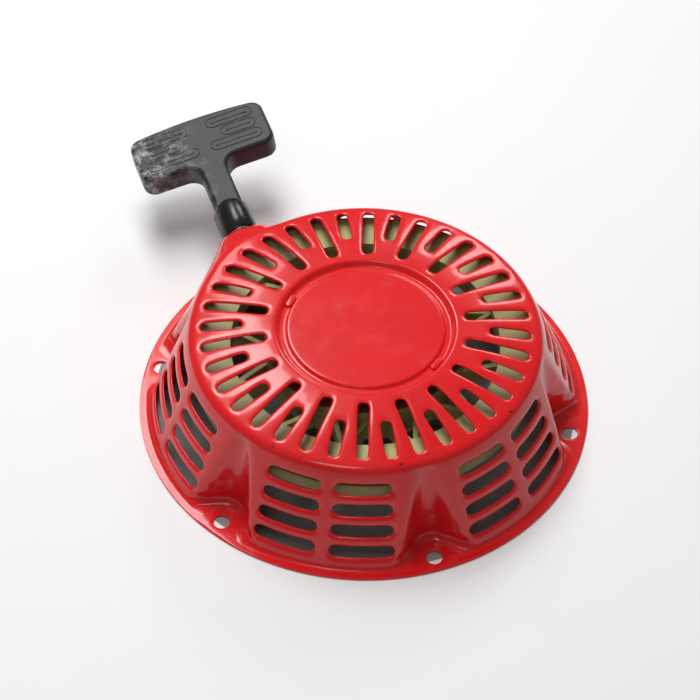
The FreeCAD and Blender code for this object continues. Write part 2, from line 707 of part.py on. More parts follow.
def make_grip():
    """One moulding: round collar, flat neck and cross bar, bored for the rope and its knot."""
    forward = Vector(0, 1, 0)
    flat = Part.Face(t_outline()).extrude(Vector(0, 0, GRIP_THICKNESS))
    flat.translate(Vector(0, 0, -GRIP_THICKNESS / 2))
    outline_edges = []
    for edge in flat.Edges:
        box = edge.BoundBox
        level = box.ZMax - box.ZMin < 0.01
        if level and box.YMax > COLLAR_LENGTH - 3.9:
            outline_edges.append(edge)
    flat = flat.makeFillet(GRIP_EDGE_BLEND, outline_edges)
    profile = [
        Vector(0, 0, 0),
        Vector(COLLAR_R - 0.9, 0, 0),
        Vector(COLLAR_R, COLLAR_LENGTH * 0.45, 0),
        Vector(COLLAR_R - 0.3, COLLAR_LENGTH - COLLAR_SHOULDER, 0),
        Vector(NECK_HALF_WIDTH, COLLAR_LENGTH, 0),
        Vector(0, COLLAR_LENGTH, 0),
    ]
    edges = [
        Part.makeLine(profile[0], profile[1]),
        Part.Arc(profile[1], profile[2], profile[3]).toShape(),
        Part.makeLine(profile[3], profile[4]),
        Part.makeLine(profile[4], profile[5]),
        Part.makeLine(profile[5], profile[0]),
    ]
    collar = Part.Face(Part.Wire(edges)).revolve(AXIS_START, forward, 360)
    recess = Part.makeCylinder(EYELET_R + 0.6, 1.4, Vector(0, -0.4, 0), forward)
    rope_bore = Part.makeCylinder(ROPE_R + 0.5, 100, Vector(0, -1, 0), forward)
    pocket = stadium(POCKET_HALF_LENGTH, KNOT_R + 0.4, 40)
    pocket.rotate(AXIS_START, Vector(1, 0, 0), -90)
    pocket.translate(Vector(0, KNOT_POCKET_START, 0))
    return placed_on_grip(flat.fuse(collar).cut([recess, rope_bore, pocket]).removeSplitter())


def make_grip_plate():
    """Steel plate that spreads the knot's load at the bottom of the pocket."""
    plate = stadium(POCKET_HALF_LENGTH - 0.4, KNOT_R, KNOT_PLATE)
    plate.rotate(AXIS_START, Vector(1, 0, 0), -90)
    plate.translate(Vector(0, KNOT_POCKET_START, 0))
    bore = Part.makeCylinder(ROPE_R + 0.15, 100, Vector(0, -1, 0), Vector(0, 1, 0))
    return placed_on_grip(plate.cut(bore))


def make_grip_knot():
    knot = Part.makeSphere(KNOT_R)
    knot.translate(Vector(0, KNOT_POCKET_START + KNOT_PLATE + KNOT_R, 0))
    return placed_on_grip(knot)


NODES = {
    "housing": make_housing(),
    "post_plate": make_post_plate(),
    "centre_post": make_centre_post(),
    "spring_arbor": make_spring_arbor(),
    "rope_eyelet": make_rope_eyelet(),
    "reel": make_reel(),
    "reel_bush": make_reel_bush(),
    "mainspring": make_mainspring(),
    "spring_keeper": make_spring_keeper(),
    "keeper_screws": make_keeper_screws(),
    "ratchet_1": make_ratchet(0),
    "ratchet_2": make_ratchet(180),
    "ratchet_pins": make_ratchet_pins(),
    "ratchet_spring_1": make_ratchet_spring(0),
    "ratchet_spring_2": make_ratchet_spring(180),
    "ratchet_guide": make_ratchet_guide(),
    "friction_spring": make_friction_spring(),
    "thrust_washer": make_thrust_washer(),
    "retaining_washer": make_retaining_washer(),
    "centre_screw": make_centre_screw(),
    "rope_coil": make_rope_coil(),
    "reel_knot": make_rope_knot(),
    "rope_lead": make_rope_lead(),
    "grip": make_grip(),
    "grip_plate": make_grip_plate(),
    "grip_knot": make_grip_knot(),
}

os.makedirs("parts", exist_ok=True)
for name, shape in NODES.items():
    if not shape.isValid():
        raise ValueError(name + " is not a valid shape")
    shape.exportStep("parts/" + name + ".step")
    print(name, len(shape.Solids), "solids, volume", round(shape.Volume, 1))
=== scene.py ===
import json
import math

import bmesh
import bpy
from bpy.props import FloatProperty, FloatVectorProperty, PointerProperty
from mathutils import Matrix, Vector


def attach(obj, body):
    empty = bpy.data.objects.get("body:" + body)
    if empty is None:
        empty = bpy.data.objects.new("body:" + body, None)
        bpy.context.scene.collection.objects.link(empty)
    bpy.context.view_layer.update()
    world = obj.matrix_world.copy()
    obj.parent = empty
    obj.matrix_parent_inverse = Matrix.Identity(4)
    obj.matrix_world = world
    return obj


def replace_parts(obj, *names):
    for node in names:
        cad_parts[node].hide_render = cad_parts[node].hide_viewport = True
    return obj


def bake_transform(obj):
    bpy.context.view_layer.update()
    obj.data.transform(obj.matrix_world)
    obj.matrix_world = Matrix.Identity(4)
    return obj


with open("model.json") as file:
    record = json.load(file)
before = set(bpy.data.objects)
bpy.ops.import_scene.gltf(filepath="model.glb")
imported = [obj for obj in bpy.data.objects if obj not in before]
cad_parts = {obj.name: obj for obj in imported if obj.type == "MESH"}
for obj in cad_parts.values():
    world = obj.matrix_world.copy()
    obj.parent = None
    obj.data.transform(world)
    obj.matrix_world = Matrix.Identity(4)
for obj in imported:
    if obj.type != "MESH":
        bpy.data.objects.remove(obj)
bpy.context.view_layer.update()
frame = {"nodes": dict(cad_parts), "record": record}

bl_info = {
    "name": "Recoil Starter",
    "version": (1, 0, 0),
    "blender": (4, 5, 0),
    "location": "3D View > Sidebar > Starter",
    "description": "Builds the looks of a small engine's recoil starter round its fixed frame",
    "category": "Object",
}

MM = 0.001

# Pressed housing, in millimetres
SHEET = 1.2
FLANGE_R = 111.4
BOLT_CIRCLE_R = 103.5
BOLT_HOLE_R = 4.0
WALL_FOOT_R = 106.7
WALL_TAPER = 0.4213
CROWN_R = 43.2
CROWN_Z = 56.1
DOME_ARC_R = 184.0
DISC_Z = 54.9
GROOVE_Z = 53.5
RIM_BLEND = 5.0
WALL_FOOT_BLEND = 2.5
POCKET_FOOT = (105.0, 14.0)
POCKET_TOP = (90.5, 4.2)
POCKET_TOP_Z = 51.2
POCKET_BLEND = 5.0
POCKET_LIP = 3.2

# Slots in the dome and louvres in the wall, measured outside their rolled lips
SLOT_LIP = 0.95
SLOT_DIP = 0.55
SLOT_HALF = 3.45
SLOT_OUTER_R = 81.2
LONG_SLOT_R = 47.7
SHORT_SLOT_R = 59.1
LOUVRE_LIP = 0.9
LOUVRE_DIP = 0.9
LOUVRE_HALF = 3.7
LOUVRE_ROWS_Z = (40.71, 30.54, 20.37, 10.2)
LOUVRE_EDGES_DEG = ((-20.0, -1.5), (1.2, 19.8))
OUTLET_SECTOR = 2
LANCE_ANGLES_DEG = (135.5, 308.0)
LANCE_TOP_Z = 54.7
LANCE_RUN = 2.4
LANCE_HALF = 1.7
GROOVE_R = 40.5
SOFTENED = {
    "reel": "reel",
    "ratchet_1": "ratchet_1",
    "ratchet_2": "ratchet_2",
    "ratchet_guide": "ratchet_guide",
    "retaining_washer": "housing",
    "centre_screw": "housing",
    "spring_keeper": "reel",
    "post_plate": "housing",
    "keeper_screws": "reel",
}

# Rope outlet
ROPE_R = 2.75
ROPE_Z = 39.8
ROPE_TURNS = 3
ROPE_SLACK = 0.05
KNOT_SPREAD = 1.12
OUTLET_X = -35.0
OUTLET_Y = 89.8
OUTLET_HALF = 11.2
OUTLET_ROOT = (-44.0, 66.0, 11.6)
OUTLET_HOLE_R = 6.5
OUTLET_BLEND = 15.0
OUTLET_DROP = 0.19
OUTLET_DRAWN_FROM = (-27.0, 40.0, 26.0)
HOLE_LIP = 0.5
EYELET_BORE_R = 3.6
EYELET_FLANGE_R = 8.0
EYELET_BACK_Y = 86.4

# Grip, in its own axes: X across the bar, Y along the rope from the collar's near end, Z out of its face
GRIP_START_Y = 93.8
GRIP_ROLL_DEG = -9.0
GRIP_THICKNESS = 13.0
GRIP_EDGE = 2.2
NECK_HALF = 7.0
COLLAR_PROFILE = (
    (-3.6, 3.7), (-3.6, 8.3), (-2.6, 8.9), (3.0, 9.4), (8.3, 9.6),
    (14.0, 9.3), (15.4, 8.9), (18.5, 6.8), (18.5, 3.7),
)
BAR_START = 48.2
BAR_END = 79.6
BAR_HALF = 36.1
BAR_BOW_DEG = 7.0
BAR_CORNER = 6.5
FORK_CORNER = 7.5
PATTERN_ROWS = ((73.0, 8.5, 26.9), (64.8, 14.5, 26.4), (56.7, 6.7, 27.7))
PATTERN_R = 3.5
KNOT_R = 5.0
GRIP_KNOT_FROM_START = 70.2

# Reel, rope and springs
GROOVE_FLOOR_R = 67.8
KNOT_HOLE_DEG = 77.3
KNOT_SEAT_R = 60.0
BEND_Y = 84.5
BEND_R = 11.0
CLIMB = 0.15
PIVOT_R = 25.0
PIVOT_ANGLES_DEG = (0.0, 180.0)
RATCHET_SPRING_R = 3.9
RATCHET_SPRING_WIRE = 0.35
RATCHET_SPRING_LOW_Z = 22.9

# The housing's grid of faces
SECTORS = 6
SECTOR_COLS = 36
SLOT_COLS = 6
POCKET_COLS = 7
LOUVRE_COLS = 10


def smooth_max(a, b, reach):
    """The larger of two numbers, rounded over where they are within reach of each other."""
    gap = max(reach - abs(a - b), 0.0) / reach
    return max(a, b) + gap * gap * reach * 0.25


def smooth_min(a, b, reach):
    return -smooth_max(-a, -b, reach)


def smooth_step(share):
    share = min(max(share, 0.0), 1.0)
    return share * share * (3.0 - 2.0 * share)


def blend(a, b, share):
    return a + (b - a) * share


def wall_radius(z):
    return WALL_FOOT_R - WALL_TAPER * (z - SHEET)


def dome_height(radius):
    across = max(radius - CROWN_R, 0.0)
    return CROWN_Z - DOME_ARC_R + math.sqrt(DOME_ARC_R**2 - across**2)


def rim_arc(count):
    """Points of the rounded rim, from the dome to the wall, as (radius, height)."""
    radius = WALL_FOOT_R
    for _ in range(60):
        radius = wall_radius(dome_height(radius))
    corner = Vector((radius, dome_height(radius)))
    dome_lean = math.asin((radius - CROWN_R) / DOME_ARC_R)
    wall_lean = math.atan(1.0 / WALL_TAPER)
    dome_normal = Vector((math.sin(dome_lean), math.cos(dome_lean)))
    wall_normal = Vector((math.sin(wall_lean), math.cos(wall_lean)))
    centre = corner - (dome_normal + wall_normal) * (RIM_BLEND / (1.0 + dome_normal.dot(wall_normal)))
    points = []
    for k in range(count + 1):
        lean = blend(dome_lean, wall_lean, k / count)
        points.append((centre.x + RIM_BLEND * math.sin(lean), centre.y + RIM_BLEND * math.cos(lean)))
    return points


def pocket_circle(z):
    """Centre radius and radius of a bolt pocket's round back at a height."""
    share = (z - SHEET) / (POCKET_TOP_Z - SHEET)
    return blend(POCKET_FOOT[0], POCKET_TOP[0], share), blend(POCKET_FOOT[1], POCKET_TOP[1], share)


class Row:
    """One ring of the housing's grid: its plain radius and height, and its pocket's circle."""

    def __init__(self, kind, radius, z, pocket=None, pocket_z=None, share=0.0):
        self.kind = kind
        self.radius = radius
        self.z = z
        self.pocket = pocket
        self.pocket_z = z if pocket_z is None else pocket_z
        self.share = share


def housing_rows():
    """The grid's rings, from the middle of the disc out over the rim and down to the flange's edge."""
    rows = [Row("disc", radius, DISC_Z) for radius in (0.0, 14.0, 28.0, 36.8, 37.7)]
    step = DISC_Z - GROOVE_Z
    rise = CROWN_Z - GROOVE_Z
    rows += [Row("disc", radius, GROOVE_Z + step * share) for radius, share in ((38.2, 0.85), (38.7, 0.15))]
    rows += [Row("disc", radius, GROOVE_Z) for radius in (39.1, 40.5, 41.7)]
    outer_slope = ((42.1, 0.15), (43.3, 0.85), (44.0, 0.99))
    rows += [Row("disc", radius, GROOVE_Z + rise * share) for radius, share in outer_slope]
    slot_start = LONG_SLOT_R + SLOT_HALF
    short_start = SHORT_SLOT_R + SLOT_HALF
    slot_end = SLOT_OUTER_R - SLOT_HALF
    third = (slot_end - short_start) / 3
    radii = [45.2, LONG_SLOT_R, slot_start, (slot_start + SHORT_SLOT_R) / 2, SHORT_SLOT_R, short_start]
    radii += [short_start + third, slot_end - third, slot_end, SLOT_OUTER_R]
    rows += [Row("dome", radius, dome_height(radius)) for radius in radii]
    rim = rim_arc(5)
    rows += [Row("rim", radius, z, share=(k + 1) / len(rim)) for k, (radius, z) in enumerate(rim)]
    half_z = LOUVRE_HALF / math.hypot(1.0, WALL_TAPER)
    heights = [46.6]
    for centre in LOUVRE_ROWS_Z:
        heights += [centre + half_z, centre, centre - half_z]
    rows += [Row("wall", wall_radius(z), z, pocket_circle(z)) for z in heights]
    wall_start = math.atan(WALL_TAPER)
    wall_tangent_z = SHEET + WALL_FOOT_BLEND * (1.0 - math.sin(wall_start))
    pocket_start = math.radians(5.4)
    pocket_tangent_z = SHEET + POCKET_BLEND * (1.0 - math.sin(pocket_start))
    centre_r, back_r = pocket_circle(pocket_tangent_z)
    for k in range(5):
        lean = blend(wall_start, math.pi / 2, k / 4)
        radius = wall_radius(wall_tangent_z) + WALL_FOOT_BLEND * (math.cos(wall_start) - math.cos(lean))
        z = SHEET + WALL_FOOT_BLEND * (1.0 - math.sin(lean))
        lean = blend(pocket_start, math.pi / 2, k / 4)
        pocket_r = back_r - POCKET_BLEND * (math.cos(pocket_start) - math.cos(lean))
        pocket_z = SHEET + POCKET_BLEND * (1.0 - math.sin(lean))
        rows.append(Row("foot", radius, z, (centre_r, pocket_r), pocket_z))
    for share in (0.21, 0.5, 0.79, 0.97, 1.0):
        rows.append(Row("flange", FLANGE_R, SHEET, share=share))
    return rows


def slot_azimuth(radius, i):
    """Azimuth of a column on the dome, in degrees from the sector's start; columns hug the slots' sides."""
    phase = i % SLOT_COLS
    if phase == 3:
        return (slot_azimuth(radius, i - 1) + slot_azimuth(radius, i + 1)) / 2
    slot = (i + 2) // SLOT_COLS
    centre = slot * 60.0 / (SECTOR_COLS / SLOT_COLS)
    even = i * 60.0 / SECTOR_COLS
    step = phase if phase < 3 else phase - SLOT_COLS
    if step == 0:
        return centre
    tip = LONG_SLOT_R if slot % 2 == 0 else SHORT_SLOT_R
    hug = smooth_step(1.0 - (tip - radius) / 9.0) if radius < tip else 1.0
    side = math.degrees(math.asin(SLOT_HALF / max(radius, tip)))
    return blend(even, centre + side * step / 2, hug)


def wall_azimuth(radius, i):
    """Azimuth of a column on the wall between two pockets, in degrees from the sector's start."""
    first, second = LOUVRE_EDGES_DEG
    tip = math.degrees(LOUVRE_HALF / radius)

    def along(edges, step):
        low, high = edges[0] + 30.0, edges[1] + 30.0
        if step == 0:
            return low
        if step == LOUVRE_COLS:
            return high
        return blend(low + tip, high - tip, (step - 1) / (LOUVRE_COLS - 2))

    start = POCKET_COLS
    if i <= start + LOUVRE_COLS:
        return along(first, i - start)
    if i < SECTOR_COLS - POCKET_COLS - LOUVRE_COLS:
        return (first[1] + second[0]) / 2 + 30.0
    return along(second, i - (SECTOR_COLS - POCKET_COLS - LOUVRE_COLS))


def pocket_point(row, edge_deg, step):
    """Where a column beside a bolt pocket's middle meets the wall at one ring, as (x, y, z) with the
    pocket's middle along +X."""
    wall_r = row.radius
    centre_r, pocket_r = row.pocket
    start = wall_r - 28.0
    edge = math.radians(edge_deg)
    edge_angle = math.atan2(wall_r * math.sin(edge), wall_r * math.cos(edge) - start)
    angle = edge_angle * step / POCKET_COLS
    direction = Vector((math.cos(angle), math.sin(angle)))

    def outside(reach):
        x, y = start + direction.x * reach, direction.y * reach
        return smooth_max(math.hypot(x, y) - wall_r, pocket_r - math.hypot(x - centre_r, y), POCKET_LIP)

    low = 4.0
    while outside(low) < 0.0:
        low += 0.5
    high = low
    low -= 0.5
    for _ in range(24):
        middle = (low + high) / 2
        if outside(middle) < 0.0:
            low = middle
        else:
            high = middle
    x, y = start + direction.x * low, direction.y * low
    sunk = smooth_step((wall_r - math.hypot(x, y)) / 4.0)
    return Vector((x, y, blend(row.z, row.pocket_z, sunk)))


def turned(point, degrees):
    angle = math.radians(degrees)
    c, s = math.cos(angle), math.sin(angle)
    return Vector((point.x * c - point.y * s, point.x * s + point.y * c, point.z))


def ring_point(row, i, toes):
    """A grid point of one 60 degree sector whose bolt pockets are at its start and end."""
    if row.kind in ("disc", "dome"):
        azimuth = slot_azimuth(row.radius, i) if row.kind == "dome" else i * 60.0 / SECTOR_COLS
        return turned(Vector((row.radius, 0.0, row.z)), azimuth)
    beside_start = i <= POCKET_COLS
    beside_end = i >= SECTOR_COLS - POCKET_COLS
    if row.kind == "rim":
        start = slot_azimuth(SLOT_OUTER_R + 2.0, i)
        if beside_start or beside_end:
            end = rim_end_azimuth(i)
        else:
            end = wall_azimuth(wall_radius(46.6), i)
        return turned(Vector((row.radius, 0.0, row.z)), blend(start, end, row.share))
    if row.kind == "flange":
        edge = turned(Vector((FLANGE_R, 0.0, SHEET)), edge_azimuth(i))
        return toes[i].lerp(edge, row.share)
    if beside_start:
        return pocket_point(row, LOUVRE_EDGES_DEG[0][0] + 30.0, i)
    if beside_end:
        point = pocket_point(row, 30.0 - LOUVRE_EDGES_DEG[1][1], SECTOR_COLS - i)
        return turned(Vector((point.x, -point.y, point.z)), 60.0)
    return turned(Vector((row.radius, 0.0, row.z)), wall_azimuth(row.radius, i))


def rim_end_azimuth(i):
    """Azimuth of a column beside a pocket where the plain wall begins above it."""
    top = Row("wall", wall_radius(46.6), 46.6, pocket_circle(46.6))
    if i <= POCKET_COLS:
        point = pocket_point(top, LOUVRE_EDGES_DEG[0][0] + 30.0, i)
        return math.degrees(math.atan2(point.y, point.x))
    point = pocket_point(top, 30.0 - LOUVRE_EDGES_DEG[1][1], SECTOR_COLS - i)
    return 60.0 - math.degrees(math.atan2(point.y, point.x))


def edge_azimuth(i):
    if i <= POCKET_COLS:
        return (LOUVRE_EDGES_DEG[0][0] + 30.0) * i / POCKET_COLS
    if i >= SECTOR_COLS - POCKET_COLS:
        return 60.0 - (30.0 - LOUVRE_EDGES_DEG[1][1]) * (SECTOR_COLS - i) / POCKET_COLS
    return wall_azimuth(WALL_FOOT_R, i)


def outlet_gap(point):
    """Distance outside the rope outlet's sides and mouth, negative inside them."""
    root_x, root_y, root_half = OUTLET_ROOT
    share = (OUTLET_Y - point.y) / (OUTLET_Y - root_y)
    half = blend(OUTLET_HALF, root_half, share)
    side = point.x - blend(OUTLET_X, root_x, share)
    rise = max(point.z - ROPE_Z, 0.0)
    return smooth_max(math.hypot(side, rise) - half, point.y - OUTLET_Y, 3.0)


def cap_gap(point):
    """Height above the dome, which runs on outwards over the outlet in a straight slope."""
    radius = math.hypot(point.x, point.y)
    return point.z - dome_height(min(radius, SLOT_OUTER_R)) + OUTLET_DROP * max(radius - SLOT_OUTER_R, 0.0)


def drawn_to_outlet(point):
    """Moves a point of the plain housing out onto the rope outlet's bulge, with a soft fillet between."""
    origin = Vector(OUTLET_DRAWN_FROM)
    direction = (point - origin).normalized()

    def wall_gap(place):
        return (math.hypot(place.x, place.y) - wall_radius(place.z)) / math.hypot(1.0, WALL_TAPER)

    def plain(place):
        return smooth_max(wall_gap(place), cap_gap(place), 5.0)

    def drawn(place):
        return smooth_max(smooth_min(wall_gap(place), outlet_gap(place), OUTLET_BLEND), cap_gap(place), 5.0)

    def reach(gap):
        low, high = -8.0, 45.0
        for _ in range(30):
            middle = (low + high) / 2
            if gap(point + direction * middle) < 0.0:
                low = middle
            else:
                high = middle
        return low

    return point + direction * max(reach(drawn) - reach(plain), 0.0)


def new_object(name, bm, body, material):
    """Turns a bmesh in millimetres into a finished object, which rides on a body if one is given."""
    bmesh.ops.scale(bm, vec=(MM, MM, MM), verts=bm.verts)
    mesh = bpy.data.meshes.new(name)
    bm.to_mesh(mesh)
    bm.free()
    for face in mesh.polygons:
        face.use_smooth = True
    piece = bpy.data.objects.new(name, mesh)
    bpy.context.scene.collection.objects.link(piece)
    mesh.materials.append(material)
    if body:
        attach(piece, body)
    return piece


def hole_outline_slot(inner_tip, outer_tip):
    """Radial position and sideways position of a slot's outline, by grid step, for its two round ends."""
    start, end = inner_tip + SLOT_HALF, outer_tip - SLOT_HALF
    rounds = {0: 1.0, 1: math.sin(math.radians(60)), 2: 0.5}
    sides = {0: 0.0, 1: 0.5, 2: math.cos(math.radians(30))}

    def end_of_slot(centre, sense):
        steps = range(-2, 3)
        across = {s: math.copysign(sides[abs(s)], s) * SLOT_HALF for s in steps}
        return {s: (centre + sense * SLOT_HALF * rounds[abs(s)], across[s]) for s in steps}

    return end_of_slot(start, -1.0), end_of_slot(end, 1.0)


def build_housing_shell():
    """The pressed cover as one grid of faces: pockets, slots, louvres, outlet and flange."""
    rows = housing_rows()
    columns = SECTORS * SECTOR_COLS
    bm = bmesh.new()
    bmesh.ops.create_grid(bm, x_segments=columns, y_segments=len(rows) - 1, size=1.0)
    points = {}
    for vert in bm.verts:
        column = round((vert.co.x + 1.0) / 2.0 * columns)
        line = round((vert.co.y + 1.0) / 2.0 * (len(rows) - 1))
        points[column, line] = vert
    toe_line = max(k for k, row in enumerate(rows) if row.kind == "foot")
    toes = [ring_point(rows[toe_line], i, None) for i in range(SECTOR_COLS + 1)]
    sector = {}
    for line, row in enumerate(rows):
        for i in range(SECTOR_COLS + 1):
            sector[i, line] = ring_point(row, i, toes)
    for (column, line), vert in points.items():
        number, i = divmod(column, SECTOR_COLS)
        vert.co = turned(sector[i, line], number * 60.0 - 30.0)

    by_line = {round(row.z, 3): k for k, row in enumerate(rows) if row.kind == "wall"}
    dome_line = {round(row.radius, 3): k for k, row in enumerate(rows) if row.kind == "dome"}
    holes = []

    def block(columns_range, lines_range):
        corners = [points[c, l] for c in columns_range for l in lines_range]
        wanted = set(corners)
        return [face for face in {f for v in corners for f in v.link_faces} if set(face.verts) <= wanted]

    # Radial slots
    for slot in range(SECTORS * 6 + 1):
        centre = slot * SLOT_COLS
        inner_tip = SHORT_SLOT_R if slot % 2 else LONG_SLOT_R
        first, last = dome_line[round(inner_tip, 3)], dome_line[round(SLOT_OUTER_R, 3)]
        inner, outer = hole_outline_slot(inner_tip, SLOT_OUTER_R)
        azimuth = slot * 10.0 - 30.0
        steps = [s for s in range(-2, 3) if 0 <= centre + s <= columns]
        for line, outline in ((first, inner), (last, outer)):
            for step in steps:
                along, side = outline[step]
                place = turned(Vector((along, side, dome_height(math.hypot(along, side)))), azimuth)
                points[centre + step, line].co = place
        holes.append(("slot", block([centre + s for s in steps], range(first, last + 1))))

    # Louvres, except behind the rope outlet
    for number in range(SECTORS):
        if number == OUTLET_SECTOR:
            continue
        for start in (POCKET_COLS, SECTOR_COLS - POCKET_COLS - LOUVRE_COLS):
            first = number * SECTOR_COLS + start
            for z in LOUVRE_ROWS_Z:
                middle = by_line[round(z, 3)]
                for end, step in ((first, 1), (first + LOUVRE_COLS, -1)):
                    tip = points[end, middle].co
                    for line in (middle - 1, middle + 1):
                        run = points[end + step, line].co
                        centre = points[end + step, middle].co
                        points[end, line].co = centre + (tip - centre) * 0.7071 + (run - centre) * 0.7071
                faces = block(range(first, first + LOUVRE_COLS + 1), range(middle - 1, middle + 2))
                holes.append(("louvre", faces))

    # Bolt holes in the flange
    for number in range(SECTORS + 1):
        centre = number * SECTOR_COLS
        middle = toe_line + 2
        azimuth = number * 60.0 - 30.0
        steps = [s for s in range(-2, 3) if 0 <= centre + s <= columns]
        for step in steps:
            for line, turn in ((middle - 1, 180.0 - 30.0 * step), (middle + 1, 30.0 * step)):
                edge = turned(Vector((BOLT_HOLE_R + HOLE_LIP, 0.0, 0.0)), turn)
                round_place = Vector((BOLT_CIRCLE_R, 0.0, SHEET)) + edge
                points[centre + step, line].co = turned(round_place, azimuth)
            if abs(step) == 2:
                side = Vector((BOLT_CIRCLE_R, (BOLT_HOLE_R + HOLE_LIP) * step / 2, SHEET))
                points[centre + step, middle].co = turned(side, azimuth)
        holes.append(("round", block([centre + s for s in steps], range(middle - 1, middle + 2))))

    # The bulge round the rope
    for (column, line), vert in points.items():
        if column // SECTOR_COLS == OUTLET_SECTOR and rows[line].kind in ("dome", "rim", "wall"):
            vert.co = drawn_to_outlet(vert.co)

    # The mouth that the rope leaves by
    mouth = Vector((OUTLET_X, OUTLET_Y, ROPE_Z))
    nearest = min(bm.verts, key=lambda v: (v.co - mouth).length)
    mouth_faces = list(nearest.link_faces)
    rim_verts = {v for face in mouth_faces for v in face.verts if v is not nearest}
    ordered = sorted(rim_verts, key=lambda v: math.atan2(v.co.z - ROPE_Z, v.co.x - OUTLET_X))
    first_angle = math.atan2(ordered[0].co.z - ROPE_Z, ordered[0].co.x - OUTLET_X)
    for k, vert in enumerate(ordered):
        angle = first_angle + 2 * math.pi * k / len(ordered)
        reach = OUTLET_HOLE_R + HOLE_LIP
        vert.co = mouth + Vector((reach * math.cos(angle), 0.0, reach * math.sin(angle)))
    holes.append(("round", mouth_faces))

    bmesh.ops.remove_doubles(bm, verts=bm.verts, dist=0.005)
    bmesh.ops.recalc_face_normals(bm, faces=bm.faces)
    if min(bm.faces, key=lambda f: f.calc_center_median().to_2d().length).normal.z < 0:
        bmesh.ops.reverse_faces(bm, faces=bm.faces)
    return bm, holes


def open_holes(bm, holes):
    """Rolls a lip in round each hole and takes out what is left in the middle."""
    lips = {"slot": (SLOT_LIP, SLOT_DIP), "louvre": (LOUVRE_LIP, LOUVRE_DIP), "round": (HOLE_LIP, 0.1)}
    for kind, (width, dip) in lips.items():
        faces = [face for name, group in holes if name == kind for face in group]
        faces = list(dict.fromkeys(face for face in faces if face.is_valid))
        bmesh.ops.inset_region(bm, faces=faces, thickness=width, depth=-dip, use_even_offset=True)
        bmesh.ops.delete(bm, geom=faces, context="FACES")


def outlined(bm, outline, height):
    """A flat-topped block with a closed outline of (x, y) points, standing on z = 0."""
    made_circle = bmesh.ops.create_circle(bm, cap_ends=True, segments=len(outline), radius=1.0)
    ordered = sorted(made_circle["verts"], key=lambda v: math.atan2(v.co.y, v.co.x))
    for vert, (x, y) in zip(ordered, outline):
        vert.co = (x, y, 0.0)
    face = next(f for f in ordered[0].link_faces)
    top = bmesh.ops.extrude_face_region(bm, geom=[face], use_keep_orig=True)["geom"]
    top_verts = [g for g in top if isinstance(g, bmesh.types.BMVert)]
    bmesh.ops.translate(bm, verts=top_verts, vec=(0.0, 0.0, height))
    verts = ordered + top_verts
    bmesh.ops.recalc_face_normals(bm, faces=list({f for v in verts for f in v.link_faces}))
    return verts


def level_edges(verts, z, tolerance=0.001):
    edges = {e for v in verts for e in v.link_edges}
    return [e for e in edges if all(abs(v.co.z - z) < tolerance for v in e.verts)]


def soften(bm, edges, width, segments):
    bmesh.ops.bevel(bm, geom=edges, offset=width, offset_type="OFFSET", segments=segments, profile=0.5,
        affect="EDGES", material=-1, clamp_overlap=True)


def revolved(bm, profile, axis, steps):
    """Spins a chain of points once round an axis through the origin."""
    verts = [bm.verts.new(point) for point in profile]
    edges = [bm.edges.new(pair) for pair in zip(verts, verts[1:])]
    bmesh.ops.spin(bm, geom=verts + edges, cent=(0, 0, 0), axis=axis, angle=2 * math.pi, steps=steps,
        use_merge=True)
    bmesh.ops.remove_doubles(bm, verts=bm.verts, dist=0.0001)
    bmesh.ops.recalc_face_normals(bm, faces=bm.faces)


def tube(bm, path, radius, sides, closed=False):
    """A round tube along a path. Its UV map runs in metres along and once round."""
    count = len(path)
    made_grid = bmesh.ops.create_grid(bm, x_segments=count - 1, y_segments=sides, size=1.0)
    uv = bm.loops.layers.uv.verify()
    distances = [0.0]
    for a, b in zip(path, path[1:]):
        distances.append(distances[-1] + (b - a).length)
    frames = []
    normal = None
    for k in range(count):
        before = path[k - 1] if k else (path[-2] if closed else path[0])
        after = path[k + 1] if k < count - 1 else (path[1] if closed else path[-1])
        tangent = (after - before).normalized()
        if normal is None:
            normal = tangent.orthogonal().normalized()
        normal = (normal - tangent * normal.dot(tangent)).normalized()
        frames.append((normal, tangent.cross(normal)))
    place = {}
    for vert in made_grid["verts"]:
        step = round((vert.co.x + 1.0) / 2.0 * (count - 1))
        side = round((vert.co.y + 1.0) / 2.0 * sides)
        place[vert] = (step, side)
    for face in {f for v in made_grid["verts"] for f in v.link_faces}:
        for loop in face.loops:
            step, side = place[loop.vert]
            loop[uv].uv = (distances[step] * MM, side / sides)
    for vert, (step, side) in place.items():
        angle = 2 * math.pi * side / sides
        normal, binormal = frames[step]
        vert.co = path[step] + (normal * math.cos(angle) + binormal * math.sin(angle)) * radius
    bmesh.ops.remove_doubles(bm, verts=made_grid["verts"], dist=0.0005)


def lay_radius():
    """Radius of the rope's centre line in its outermost turn."""
    return GROOVE_FLOOR_R + (2 * ROPE_TURNS - 1) * ROPE_R


def lead_line():
    """The corner behind the outlet that the rope turns at, its heading there and its run from the reel."""
    corner = Vector((OUTLET_X, BEND_Y, ROPE_Z))
    reach = math.hypot(corner.x, corner.y)
    heading = math.atan2(corner.y, corner.x) - math.asin(lay_radius() / reach)
    return corner, heading, math.sqrt(reach**2 - lay_radius() ** 2)


